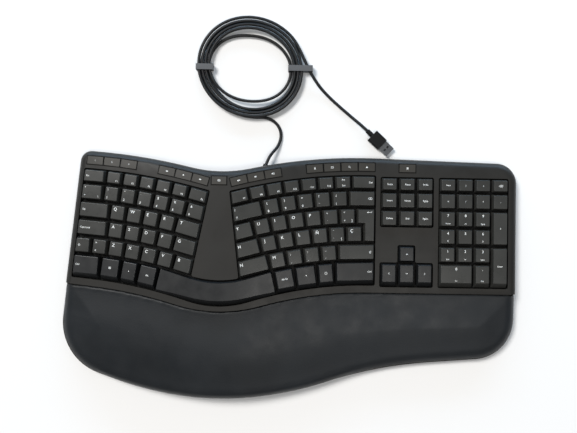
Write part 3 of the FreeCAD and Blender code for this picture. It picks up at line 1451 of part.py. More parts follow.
def make_plug():
    collar = S.plug_collar_length
    grip = new_body("usb_plug_body", plug_placement(collar))
    outline = rectangle_sketch(grip, "grip_outline", "XY_Plane", "Sizes.plug_body_width",
                               "Sizes.plug_body_height", "-Sizes.plug_body_width / 2",
                               "-Sizes.plug_body_height / 2")
    block = pad(grip, outline, "grip_block", "Sizes.plug_body_length")
    doc.recompute()
    bevel = grip.newObject("PartDesign::Chamfer", "grip_edges")
    long_edges = ["Edge%d" % (index + 1) for index, edge in enumerate(block.Shape.Edges)
                  if abs(edge.BoundBox.ZLength - S.plug_body_length) < 1e-6]
    bevel.Base = (block, long_edges)
    bevel.setExpression("Size", "Sizes.plug_body_round")
    neck = grip.newObject("PartDesign::AdditivePrism", "grip_collar")
    neck.Polygon = 12
    neck.setExpression("Circumradius", "Sizes.plug_collar_width / 2")
    neck.setExpression("Height", "Sizes.plug_collar_length + 0.5")
    neck.setExpression("AttachmentOffset.Base.z", "-Sizes.plug_collar_length")
    neck.AttachmentSupport = [(origin_plane(grip, "XY_Plane"), "")]
    neck.MapMode = "FlatFace"
    doc.recompute()
    socket = rectangle_sketch(grip, "grip_socket", "XY_Plane", "Sizes.plug_shell_width",
                              "Sizes.plug_shell_height", "-Sizes.plug_shell_width / 2",
                              "-Sizes.plug_shell_height / 2")
    socket.setExpression("AttachmentOffset.Base.z", "Sizes.plug_body_length - Sizes.plug_shell_root")
    doc.recompute()
    pocket(grip, socket, "grip_mouth", "Sizes.plug_shell_root + 1")

    ahead = collar + S.plug_body_length - S.plug_shell_root
    shell = new_body("usb_plug_shell", plug_placement(ahead))
    outer = rectangle_sketch(shell, "shell_outline", "XY_Plane", "Sizes.plug_shell_width",
                             "Sizes.plug_shell_height", "-Sizes.plug_shell_width / 2",
                             "-Sizes.plug_shell_height / 2")
    pad(shell, outer, "shell_block", "Sizes.plug_shell_root + Sizes.plug_shell_length")
    doc.recompute()
    inner = rectangle_sketch(shell, "shell_mouth", "XY_Plane",
                             "Sizes.plug_shell_width - 2 * Sizes.plug_shell_wall",
                             "Sizes.plug_shell_height - 2 * Sizes.plug_shell_wall",
                             "-Sizes.plug_shell_width / 2 + Sizes.plug_shell_wall",
                             "-Sizes.plug_shell_height / 2 + Sizes.plug_shell_wall")
    inner.setExpression("AttachmentOffset.Base.z", "Sizes.plug_shell_wall")
    doc.recompute()
    pocket(shell, inner, "shell_hollow", "Sizes.plug_shell_root + Sizes.plug_shell_length")

    tongue = new_body("usb_plug_tongue", plug_placement(ahead + S.plug_shell_wall))
    plate = rectangle_sketch(
        tongue, "tongue_outline", "XY_Plane",
        "Sizes.plug_shell_width - 2 * Sizes.plug_shell_wall - 2 * Sizes.plug_tongue_gap",
        "Sizes.plug_tongue_height",
        "-Sizes.plug_shell_width / 2 + Sizes.plug_shell_wall + Sizes.plug_tongue_gap",
        "Sizes.plug_shell_height / 2 - Sizes.plug_shell_wall - Sizes.plug_tongue_height")
    pad(tongue, plate, "tongue_plate",
        "Sizes.plug_shell_root + Sizes.plug_shell_length - Sizes.plug_shell_wall - Sizes.plug_tongue_back")


def make_board():
    base = Vector(S.board_x, S.board_y, S.board_height)
    board = new_body("controller_board", Placement(base, Rotation()))
    outline = rectangle_sketch(board, "board_outline", "XY_Plane", "Sizes.board_length",
                               "Sizes.board_width", "-Sizes.board_length / 2", "-Sizes.board_width / 2")
    pad(board, outline, "board_plate", "Sizes.board_thickness")


def make_tilt_feet():
    """A flat leg with a round heel and two pins, folded against the underside."""
    for name, place in TILT_PLACES.items():
        heel = doc.addObject("Part::Prism", name + "_heel")
        bind(heel, Circumradius="Sizes.tilt_thickness / 2", Height="Sizes.tilt_width")
        pin = doc.addObject("Part::Prism", name + "_pins")
        bind(pin, Circumradius="Sizes.tilt_pin_width / 2",
             Height="Sizes.tilt_width + 2 * Sizes.tilt_pin_length")
        heel.Polygon = pin.Polygon = 16
        bind(pin, **{"Placement.Base.z": "-Sizes.tilt_pin_length"})
        leg = doc.addObject("Part::Box", name + "_leg")
        bind(leg, Length="Sizes.tilt_thickness", Width="Sizes.tilt_length", Height="Sizes.tilt_width")
        bind(leg, **{"Placement.Base.x": "-Sizes.tilt_thickness / 2"})
        foot = doc.addObject("Part::MultiFuse", name)
        foot.Label = name
        foot.Shapes = [heel, pin, leg]
        turn = Rotation(Vector(0, 0, -1), Vector(0, 1, 0), Vector(1, 0, 0), "ZXY")
        foot.Placement = Placement(place - Vector(S.tilt_width / 2, 0, 0), turn)
        PARTS.append(foot)


make_top_case()
make_palm_rest()
make_layers()
make_bottom_case()
make_rubber_feet()
make_screws()
make_strain_relief()
make_cord()
make_ties()
make_plug()
make_board()
make_tilt_feet()
doc.recompute()

# Check everything, then write one file for each sub-part

for item in doc.Objects:
    if "Invalid" in item.State or "Error" in item.State:
        raise RuntimeError("%s did not build: %s" % (item.Label, item.State))
os.makedirs("parts", exist_ok=True)
for part in PARTS:
    shape = part.Shape
    if shape.isNull() or not shape.isValid() or not shape.Solids:
        raise RuntimeError("%s has no valid solid" % part.Label)
    shape.exportStep("parts/%s.step" % part.Label)
print("%d sub-parts written" % len(PARTS))
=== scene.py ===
import json
import math
import bmesh
import bpy
from mathutils import Matrix, Vector, kdtree, noise

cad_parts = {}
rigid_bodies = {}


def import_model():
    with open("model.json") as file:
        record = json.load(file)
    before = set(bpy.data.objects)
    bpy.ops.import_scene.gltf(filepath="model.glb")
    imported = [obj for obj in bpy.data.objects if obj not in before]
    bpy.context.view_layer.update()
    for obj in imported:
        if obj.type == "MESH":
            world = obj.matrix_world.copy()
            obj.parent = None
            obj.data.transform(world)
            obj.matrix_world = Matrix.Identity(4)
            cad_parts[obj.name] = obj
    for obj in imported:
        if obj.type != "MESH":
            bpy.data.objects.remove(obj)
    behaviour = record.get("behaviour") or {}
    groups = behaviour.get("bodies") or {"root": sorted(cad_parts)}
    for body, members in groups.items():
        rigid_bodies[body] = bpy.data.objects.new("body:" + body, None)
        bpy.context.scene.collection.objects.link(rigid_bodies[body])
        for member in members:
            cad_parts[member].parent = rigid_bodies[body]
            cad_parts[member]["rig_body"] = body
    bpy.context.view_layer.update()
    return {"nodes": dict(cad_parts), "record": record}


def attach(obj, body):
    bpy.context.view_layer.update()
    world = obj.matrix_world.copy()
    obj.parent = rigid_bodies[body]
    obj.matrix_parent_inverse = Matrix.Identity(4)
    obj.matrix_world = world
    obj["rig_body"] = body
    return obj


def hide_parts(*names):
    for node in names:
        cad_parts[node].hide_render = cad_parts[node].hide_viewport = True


# Ergonomic keyboard with its coiled cord, seen from above.
# Lengths with names ending in MM are in millimetres; everything else is in metres.

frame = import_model()
NODES = frame["nodes"]
MM = 0.001
BODY = "keyboard"


def placed(name, data):
    """A new object in the scene that holds this data."""
    thing = bpy.data.objects.new(name, data)
    bpy.context.scene.collection.objects.link(thing)
    return thing


# Camera, at the angle of the photograph

PHOTO_WIDTH = 577
FOCAL_PIXELS = 738.0
SENSOR_MM = 36.0
CAMERA_PLACE = (-0.0015, 0.0661, 0.829)
CAMERA_TURN = math.radians(1.0)

camera_data = bpy.data.cameras.new("camera")
camera_data.sensor_width = SENSOR_MM
camera_data.sensor_fit = "HORIZONTAL"
camera_data.lens = SENSOR_MM * FOCAL_PIXELS / PHOTO_WIDTH
camera = placed("camera", camera_data)
camera.location = CAMERA_PLACE
camera.rotation_euler = (0, 0, CAMERA_TURN)
bpy.context.scene.camera = camera
bpy.context.scene.view_settings.view_transform = "Standard"


# Light: a wide one high at the back left, a cool one low behind, a small warm one, and a dim room

WARM_WHITE = (1.0, 0.98, 0.95)
WARMER_WHITE = (1.0, 0.97, 0.92)
SKY_BLUE = (0.50, 0.74, 1.0)
ROOM_COLOUR = (0.93, 0.96, 1.0, 1)
ROOM_STRENGTH = 0.30


def area_light(name, place, aim, width, height, watts, colour):
    data = bpy.data.lights.new(name, "AREA")
    data.shape = "RECTANGLE"
    data.size, data.size_y = width, height
    data.energy = watts
    data.color = colour
    lamp = placed(name, data)
    lamp.location = place
    lamp.rotation_euler = (Vector(aim) - Vector(place)).to_track_quat("-Z", "Y").to_euler()


area_light("light_over", place=(-3.0, 2.9, 6.0), aim=(0, 0.05, 0), width=2.3, height=2.3,
           watts=520, colour=WARM_WHITE)
area_light("light_back", place=(0.1, 1.5, 0.30), aim=(0, 0.1, 0.02), width=2.8, height=0.5,
           watts=34, colour=SKY_BLUE)
area_light("light_top", place=(0.30, -0.30, 1.7), aim=(0.03, 0.0, 0), width=0.35, height=0.35,
           watts=7.0, colour=WARMER_WHITE)

world = bpy.data.worlds.new("room")
world.use_nodes = True
room = world.node_tree.nodes["Background"]
room.inputs["Color"].default_value = ROOM_COLOUR
room.inputs["Strength"].default_value = ROOM_STRENGTH
bpy.context.scene.world = world


# Materials

def colour_of(red, green, blue):
    """A colour given as it shows on a screen, 0 to 255."""
    def linear(value):
        value /= 255
        return value / 12.92 if value <= 0.04045 else ((value + 0.055) / 1.055) ** 2.4
    return (linear(red), linear(green), linear(blue), 1)


def shaded(colour, share):
    return (colour[0] * share, colour[1] * share, colour[2] * share, 1)


class Surface:
    """A material with its own nodes: a shader, object coordinates and what is added to them."""

    def __init__(self, name, colour, rough, metal=0.0, specular=0.5):
        self.material = bpy.data.materials.new(name)
        self.material.use_nodes = True
        self.tree = self.material.node_tree
        self.shader = self.tree.nodes["Principled BSDF"]
        self.colour = colour
        self.shader.inputs["Base Color"].default_value = colour
        self.shader.inputs["Roughness"].default_value = rough
        self.shader.inputs["Metallic"].default_value = metal
        self.shader.inputs["Specular IOR Level"].default_value = specular
        self.rough = rough
        self.place = self.add("ShaderNodeTexCoord").outputs["Object"]
        self.last_bump = None

    def add(self, kind, **settings):
        node = self.tree.nodes.new(kind)
        for key, value in settings.items():
            setattr(node, key, value)
        return node

    def link(self, output, to):
        self.tree.links.new(output, to)

    def noise(self, size_mm, detail, distortion=0.0):
        node = self.add("ShaderNodeTexNoise")
        node.inputs["Scale"].default_value = 1 / (size_mm * MM)
        node.inputs["Detail"].default_value = detail
        node.inputs["Distortion"].default_value = distortion
        self.link(self.place, node.inputs["Vector"])
        return node.outputs["Fac"]

    def cells(self, size_mm):
        node = self.add("ShaderNodeTexVoronoi", feature="SMOOTH_F1")
        node.inputs["Scale"].default_value = 1 / (size_mm * MM)
        self.link(self.place, node.inputs["Vector"])
        return node.outputs["Distance"]

    def mapped(self, value, low_from, high_from, low_to, high_to):
        node = self.add("ShaderNodeMapRange")
        for socket, number in zip(("From Min", "From Max", "To Min", "To Max"),
                                  (low_from, high_from, low_to, high_to)):
            node.inputs[socket].default_value = number
        self.link(value, node.inputs["Value"])
        return node.outputs["Result"]

    def tint(self, value, darker, lighter):
        """Colour that wanders between two shades along with a value."""
        ramp = self.add("ShaderNodeValToRGB")
        first, last = ramp.color_ramp.elements
        first.position, last.position = 0.35, 0.65
        first.color, last.color = shaded(self.colour, darker), shaded(self.colour, lighter)
        self.link(value, ramp.inputs["Fac"])
        self.link(ramp.outputs["Color"], self.shader.inputs["Base Color"])

    def roughen(self, value, spread):
        """Roughness that wanders by so much to either side of the plain value."""
        low, high = max(self.rough - spread, 0.05), min(self.rough + spread, 1.0)
        self.link(self.mapped(value, 0.3, 0.7, low, high), self.shader.inputs["Roughness"])

    def bump(self, value, depth_mm, strength):
        """Relief, added to the relief that the surface already has."""
        node = self.add("ShaderNodeBump")
        node.inputs["Distance"].default_value = depth_mm * MM
        node.inputs["Strength"].default_value = strength
        self.link(value, node.inputs["Height"])
        if self.last_bump:
            self.link(self.last_bump, node.inputs["Normal"])
        self.last_bump = node.outputs["Normal"]
        self.link(self.last_bump, self.shader.inputs["Normal"])


def moulded(name, colour, rough, grain_mm=0.35, depth_mm=0.02, specular=0.5, patch=0.10):
    """Moulded plastic: fine spark-eroded grain, slightly uneven gloss and colour."""
    made = Surface(name, colour, rough, specular=specular)
    made.tint(made.noise(38, 4), 1 - patch, 1 + patch)
    made.roughen(made.noise(14, 5), 0.06)
    made.bump(made.noise(grain_mm, 2), depth_mm, 0.5)
    return made


def leatherette(name, colour):
    """Coated fabric with a fine pebble grain, soft sheen and faint wear."""
    made = Surface(name, colour, 0.46, specular=0.24)
    made.tint(made.noise(60, 5, 0.4), 0.86, 1.14)
    made.roughen(made.noise(22, 5), 0.07)
    made.bump(made.cells(1.3), 0.09, 0.55)
    made.bump(made.noise(0.5, 4), 0.03, 0.4)
    made.shader.inputs["Sheen Weight"].default_value = 0.05
    made.shader.inputs["Sheen Roughness"].default_value = 0.5
    return made


def drawn_metal(name, colour, rough):
    """Drawn sheet metal with a fine satin grain."""
    made = Surface(name, colour, rough, metal=1.0)
    made.tint(made.noise(3, 5), 0.9, 1.08)
    made.roughen(made.noise(1.2, 6), 0.08)
    made.bump(made.noise(0.4, 2), 0.008, 0.5)
    return made


SURFACES = {
    "deck": moulded("deck_plastic", colour_of(33, 32, 30),
                    rough=0.46, grain_mm=0.45, depth_mm=0.025, specular=0.2),
    "underside": moulded("underside_plastic", colour_of(34, 34, 35),
                         rough=0.55, grain_mm=0.6, depth_mm=0.03),
    "cushion": leatherette("cushion_leatherette", colour_of(23, 26, 29)),
    "guide_plate": moulded("guide_plastic", colour_of(9, 9, 9), rough=0.6, specular=0.15),
    "domes": moulded("dome_rubber", colour_of(70, 70, 72), rough=0.7),
    "film": moulded("contact_film", colour_of(165, 170, 160), rough=0.3),
    "steel": drawn_metal("backing_steel", colour_of(150, 152, 155), rough=0.4),
    "board": moulded("board_laminate", colour_of(28, 84, 52), rough=0.45),
    "screw": drawn_metal("screw_steel", colour_of(90, 90, 92), rough=0.35),
    "rubber": moulded("foot_rubber", colour_of(26, 26, 27),
                      rough=0.8, grain_mm=0.8, depth_mm=0.05, specular=0.3),
    "key": moulded("key_plastic", colour_of(49, 49, 47),
                   rough=0.30, grain_mm=0.3, depth_mm=0.018, specular=0.22),
    "dark_key": moulded("dark_key_plastic", colour_of(23, 24, 25),
                        rough=0.36, grain_mm=0.3, depth_mm=0.018, specular=0.3),
    "button": moulded("button_plastic", colour_of(43, 41, 37),
                      rough=0.44, grain_mm=0.3, depth_mm=0.018, specular=0.3),
    "cord": moulded("cord_jacket", colour_of(17, 18, 19),
                    rough=0.50, grain_mm=0.5, depth_mm=0.03, specular=0.25),
    "tie": moulded("tie_plastic", colour_of(74, 75, 77),
                   rough=0.55, grain_mm=0.6, depth_mm=0.04, specular=0.3),
    "cord_moulding": moulded("moulding_plastic", colour_of(10, 10, 11),
                             rough=0.5, grain_mm=0.4, depth_mm=0.03, specular=0.15),
    "plug_shell": drawn_metal("plug_steel", colour_of(88, 90, 93), rough=0.38),
    "plug_tongue": moulded("tongue_plastic", colour_of(230, 230, 226), rough=0.45),
}
LEGEND = moulded("legend_print", colour_of(236, 238, 236),
                 rough=0.5, grain_mm=0.3, depth_mm=0.005, specular=0.3, patch=0.05)

for name, node in NODES.items():
    slots = [m["slot"] for m in frame["record"]["materials"] if name in m.get("nodes", [])]
    finish_name = slots[0] if slots else node.data.materials[0].name.split(".")[0]
    if name.startswith("key_arrow"):
        finish_name = "dark_key"
    chosen = SURFACES.get(finish_name)
    if chosen is None:
        raise ValueError("no finish for %s: %s" % (name, finish_name))
    node.data.materials.clear()
    node.data.materials.append(chosen.material)


# Soft edges on the moulded parts

WELD_MM = 0.005
NORMAL_WEIGHT = 60


def weld(thing):
    """Join the loose triangles of a CAD solid."""
    modifier = thing.modifiers.new("weld", "WELD")
    modifier.merge_threshold = WELD_MM * MM


def soften(node, width_mm, segments, angle=32.0):
    weld(node)
    bevel = node.modifiers.new("edges", "BEVEL")
    bevel.width = width_mm * MM
    bevel.segments = segments
    bevel.limit_method = "ANGLE"
    bevel.angle_limit = math.radians(angle)
    weighted = node.modifiers.new("shading", "WEIGHTED_NORMAL")
    weighted.weight = NORMAL_WEIGHT
    weighted.keep_sharp = False


KEY_NODES = sorted(name for name in NODES
                   if name.startswith(("key_", "keys_", "space_bar")) and name != "key_plate")
BUTTON_NODES = sorted(name for name in NODES if name.startswith("button"))
for name in KEY_NODES:
    soften(NODES[name], 0.7, 3)
for name in BUTTON_NODES:
    soften(NODES[name], 0.15, 1)
soften(NODES["top_case"], 0.2, 2, 50.0)
soften(NODES["usb_plug_body"], 0.5, 2)
for name in ("bottom_case", "coil_ties", "cord_strain_relief", "rubber_feet", "tilt_foot_left",
             "tilt_foot_right", "usb_plug_shell"):
    soften(NODES[name], 0.12, 1)


# The cord: its route, the coil and the tail, as one smooth curve

CORD_MM = 3.4
GLAND_MM = (-28.0, 121.3, 11.2)
GLAND_TURN = math.radians(20.0)
GLAND_REACH_MM = 2.2
LEAD_ROUTE_MM = [(-25.0, 129.7, 10.95), (-21.4, 135.6, 9.0), (-16.9, 140.9, 5.6),
                 (-13.2, 147.2, 2.9), (-11.2, 154.4, 1.8), (-11.9, 162.0, 1.8),
                 (-15.6, 169.0, 2.0), (-21.9, 174.1, 2.4), (-29.8, 176.7, 3.0)]
TAIL_ROUTE_MM = [(15.3, 236.5, 6.9), (20.6, 226.6, 6.2), (27.0, 216.4, 4.6), (34.8, 207.2, 2.9),
                 (43.8, 198.6, 1.9), (53.4, 190.2, 1.8), (63.2, 182.0, 1.9), (72.0, 174.6, 2.7),
                 (79.4, 168.5, 3.7)]
PLUG_MM = (84.9, 163.4, 4.0)
COIL_MM = (-46.1, 231.2, 3.0)
COIL_OUTSIDE_MM = 57.7
COIL_INSIDE_MM = 45.6
COIL_GROWTH_MM = 3.9
COIL_FLATNESS_MM = 3.2
COIL_LEAN_MM = 4.0
COIL_RISE_MM = 3.95
LOWER_QUARTERS = 6
CLIMB_QUARTERS = 2
LAST_QUARTER = 22 + 65 / 90
STEPS_PER_QUARTER = 6
SLACK_MM = {6: 6.0, 7: 1.2, 8: 5.0}


def eased(share):
    """A share from 0 to 1 that starts and ends gently."""
    share = min(max(share, 0.0), 1.0)
    return share * share * (3 - 2 * share)


def slack_at(quarter):
    """How far the coil hangs inwards there, blended between the quarters."""
    before = math.floor(quarter)
    share = eased(quarter - before)
    return SLACK_MM.get(before, 0.0) * (1 - share) + SLACK_MM.get(before + 1, 0.0) * share


def coil_radius(quarter):
    """The lower layer runs inwards, then the upper layer runs outwards again."""
    if quarter <= LOWER_QUARTERS:
        return COIL_OUTSIDE_MM + (COIL_INSIDE_MM - COIL_OUTSIDE_MM) * quarter / LOWER_QUARTERS
    upper_turns = max(quarter - LOWER_QUARTERS - CLIMB_QUARTERS, 0) / 4
    return COIL_INSIDE_MM + COIL_GROWTH_MM * upper_turns


def coil_point(quarter):
    """Point of the coil after so many quarter turns from the front."""
    turn = -math.pi / 2 * (1 + quarter)
    flattened = COIL_FLATNESS_MM * math.sin(turn) ** 2
    radius = coil_radius(quarter) - slack_at(quarter) - flattened
    outside = radius / math.cos(math.pi / 4 / STEPS_PER_QUARTER)
    lean = COIL_LEAN_MM * math.sin(turn)
    climb = eased((quarter - LOWER_QUARTERS) / CLIMB_QUARTERS) * COIL_RISE_MM
    return (COIL_MM[0] + outside * math.cos(turn) - lean,
            COIL_MM[1] + outside * math.sin(turn), COIL_MM[2] + climb)


def cord_points():
    """The cord's points in millimetres, from the case's back wall to the plug."""
    exit_point = (GLAND_MM[0] + math.sin(GLAND_TURN) * GLAND_REACH_MM,
                  GLAND_MM[1] + math.cos(GLAND_TURN) * GLAND_REACH_MM, GLAND_MM[2])
    count = int(LAST_QUARTER * STEPS_PER_QUARTER)
    coil = [coil_point(step / STEPS_PER_QUARTER) for step in range(count + 1)]
    return [exit_point] + LEAD_ROUTE_MM + coil + TAIL_ROUTE_MM + [PLUG_MM]


points_mm = cord_points()
cord_curve = bpy.data.curves.new("cord", "CURVE")
cord_curve.dimensions = "3D"
cord_curve.bevel_depth = CORD_MM / 2 * MM
cord_curve.bevel_resolution = 4
cord_curve.resolution_u = 6
cord_curve.use_fill_caps = True
spline = cord_curve.splines.new("NURBS")
spline.points.add(len(points_mm) - 1)
for point, place in zip(spline.points, points_mm):
    point.co = (place[0] * MM, place[1] * MM, place[2] * MM, 1)
spline.order_u = 3
spline.use_endpoint_u = True
cord = placed("cord_smooth", cord_curve)
cord_curve.materials.append(SURFACES["cord"].material)
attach(cord, BODY)
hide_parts("cord_lead", "cord_coil", "cord_tail")


# The palm rest: a thin cushion with a drawn-in seam and a soft crown

CROWN_MM = 1.2
ROLL_OFF_MM = 1.3
CROWN_REACH_MM = 45.0
DRAWN_IN_MM = 0.7
DRAWN_IN_REACH_MM = 5.0
UNEVEN_MM = 0.2
UNEVEN_SIZE_MM = 34.0
SIDE_NORMAL = 0.62
SEAM_NORMAL = 0.45
VOXEL_MM = 1.7
SMOOTHING_PASSES = 12


def tree_of(places):
    """A search tree over these places as seen from above."""
    tree = kdtree.KDTree(len(places))
    for index, place in enumerate(places):
        tree.insert((place.x, place.y, 0), index)
    tree.balance()
    return tree


def swell(mesh):
    """Crown the top, draw it in beside the seam, and let the foam be a little uneven."""
    sides = [vertex for vertex in mesh.vertices if abs(vertex.normal.z) < SIDE_NORMAL]
    seam = tree_of([vertex.co for vertex in sides if vertex.normal.y > SEAM_NORMAL])
    rim = tree_of([vertex.co for vertex in sides])
    moves = []
    for vertex in mesh.vertices:
        place, normal = vertex.co, vertex.normal
        spot = (place.x, place.y, 0)
        from_rim = eased(rim.find(spot)[2] / MM / CROWN_REACH_MM)
        at_seam = 1 - eased(seam.find(spot)[2] / MM / DRAWN_IN_REACH_MM)
        lift = (CROWN_MM * from_rim - ROLL_OFF_MM * (1 - from_rim) * (1 - at_seam)
                - DRAWN_IN_MM * at_seam)
        lift += UNEVEN_MM * noise.noise(place / (UNEVEN_SIZE_MM * MM)) * from_rim
        moves.append(normal * (lift * MM * eased(normal.z)))
    for vertex, move in zip(mesh.vertices, moves):
        vertex.co = vertex.co + move


def make_cushion():
    """The palm rest's solid with an even mesh, swollen and shaded smooth."""
    cushion = placed("palm_rest_padded", NODES["palm_rest"].data.copy())
    weld(cushion)
    remesh = cushion.modifiers.new("remesh", "REMESH")
    remesh.mode = "VOXEL"
    remesh.voxel_size = VOXEL_MM * MM
    remesh.use_smooth_shade = True
    smooth = cushion.modifiers.new("smooth", "SMOOTH")
    smooth.factor = 0.5
    smooth.iterations = SMOOTHING_PASSES
    graph = bpy.context.evaluated_depsgraph_get()
    final = bpy.data.meshes.new_from_object(cushion.evaluated_get(graph), depsgraph=graph)
    cushion.modifiers.clear()
    cushion.data = final
    swell(final)
    final.materials.clear()
    final.materials.append(SURFACES["cushion"].material)
    for polygon in final.polygons:
        polygon.use_smooth = True
    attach(cushion, BODY)
    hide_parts("palm_rest")


make_cushion()


# Legends, drawn on the flat top of each key

TOP_NORMAL = 0.85
TOP_AREA_MM2 = 70


def key_tops(name):
    """The flat tops of a node's keys from left to right: a matrix, the width and the depth."""
    mesh = bmesh.new()
    mesh.from_mesh(NODES[name].data)
    bmesh.ops.remove_doubles(mesh, verts=mesh.verts, dist=WELD_MM * MM)
    mesh.normal_update()
    bmesh.ops.dissolve_limit(mesh, angle_limit=0.01, verts=mesh.verts, edges=mesh.edges)
    found = []
    for face in mesh.faces:
        if face.normal.z < TOP_NORMAL or face.calc_area() < TOP_AREA_MM2 * MM * MM:
            continue
        corners = [vert.co.copy() for vert in face.verts]
        sides = [(corners[index - 1] - corners[index]).normalized()
                 for index in range(len(corners))]
        right = max(sides, key=lambda side: side.x)
        normal = face.normal.copy()
        back = normal.cross(right).normalized()
        across = [corner.dot(right) for corner in corners]
        along = [corner.dot(back) for corner in corners]
        height = corners[0].dot(normal)
        middle = (right * (min(across) + max(across)) / 2
                  + back * (min(along) + max(along)) / 2 + normal * height)
        turned = Matrix((right, back, normal)).transposed().to_4x4()
        found.append((Matrix.Translation(middle) @ turned,
                      (max(across) - min(across)) / MM, (max(along) - min(along)) / MM))
    mesh.free()
    found.sort(key=lambda top: top[0].translation.x)
    return found


LETTER, SMALL, WORD = 3.3, 2.5, 1.9
PAD_DIGIT, PAD_WORD, PAD_SIGN = 2.9, 1.5, 2.2
NUMERAL = 1.7
CAP_TO_FONT_SIZE = 0.72
TEXTS = {}


def text_outline(text, cap_mm):
    """Vertices and faces of a short text in millimetres, its middle at the origin."""
    if (text, cap_mm) not in TEXTS:
        curve = bpy.data.curves.new("text", "FONT")
        curve.body = text
        curve.size = cap_mm / CAP_TO_FONT_SIZE
        curve.resolution_u = 3
        thing = bpy.data.objects.new("text", curve)
        mesh = bpy.data.meshes.new_from_object(thing)
        places = [vertex.co.copy() for vertex in mesh.vertices]
        faces = [list(polygon.vertices) for polygon in mesh.polygons]
        low_x, high_x = min(place.x for place in places), max(place.x for place in places)
        places = [(place.x - (low_x + high_x) / 2, place.y - cap_mm / 2) for place in places]
        TEXTS[text, cap_mm] = (places, faces, high_x - low_x, cap_mm)
        bpy.data.objects.remove(thing)
        bpy.data.meshes.remove(mesh)
    return TEXTS[text, cap_mm]


LINE_MM = 0.32


def lines(*paths, width=LINE_MM):
    """Narrow strips along paths in millimetres; a path that ends where it starts is closed."""
    places, faces = [], []
    for path in paths:
        for (ax, ay), (bx, by) in zip(path, path[1:]):
            length = math.hypot(bx - ax, by - ay)
            ux, uy = (bx - ax) / length * width / 2, (by - ay) / length * width / 2
            ax, ay, bx, by = ax - ux, ay - uy, bx + ux, by + uy
            start = len(places)
            places += [(ax - uy, ay + ux), (ax + uy, ay - ux), (bx + uy, by - ux),
                       (bx - uy, by + ux)]
            faces.append([start, start + 1, start + 2, start + 3])
    return places, faces


def solid(*shapes):
    """Filled shapes, each given by its corners."""
    places, faces = [], []
    for shape in shapes:
        faces.append([len(places) + index for index in range(len(shape))])
        places += shape
    return places, faces


def merged(*drawings):
    """Several drawings as one."""
    places, faces = [], []
    for more_places, more_faces in drawings:
        faces += [[index + len(places) for index in face] for face in more_faces]
        places += more_places
    return places, faces


def ring(radius, x=0.0, y=0.0, start=0.0, end=360.0, steps=16):
    """Points along a circle, or along an arc between two angles in degrees."""
    turns = [math.radians(start + (end - start) * index / steps) for index in range(steps + 1)]
    return [(x + radius * math.cos(turn), y + radius * math.sin(turn)) for turn in turns]


def box_path(width, height):
    w, h = width / 2, height / 2
    return [(-w, -h), (w, -h), (w, h), (-w, h), (-w, -h)]


def dashes(reach, *heights):
    """Short level lines, one at each height."""
    return [[(-reach, height), (reach, height)] for height in heights]


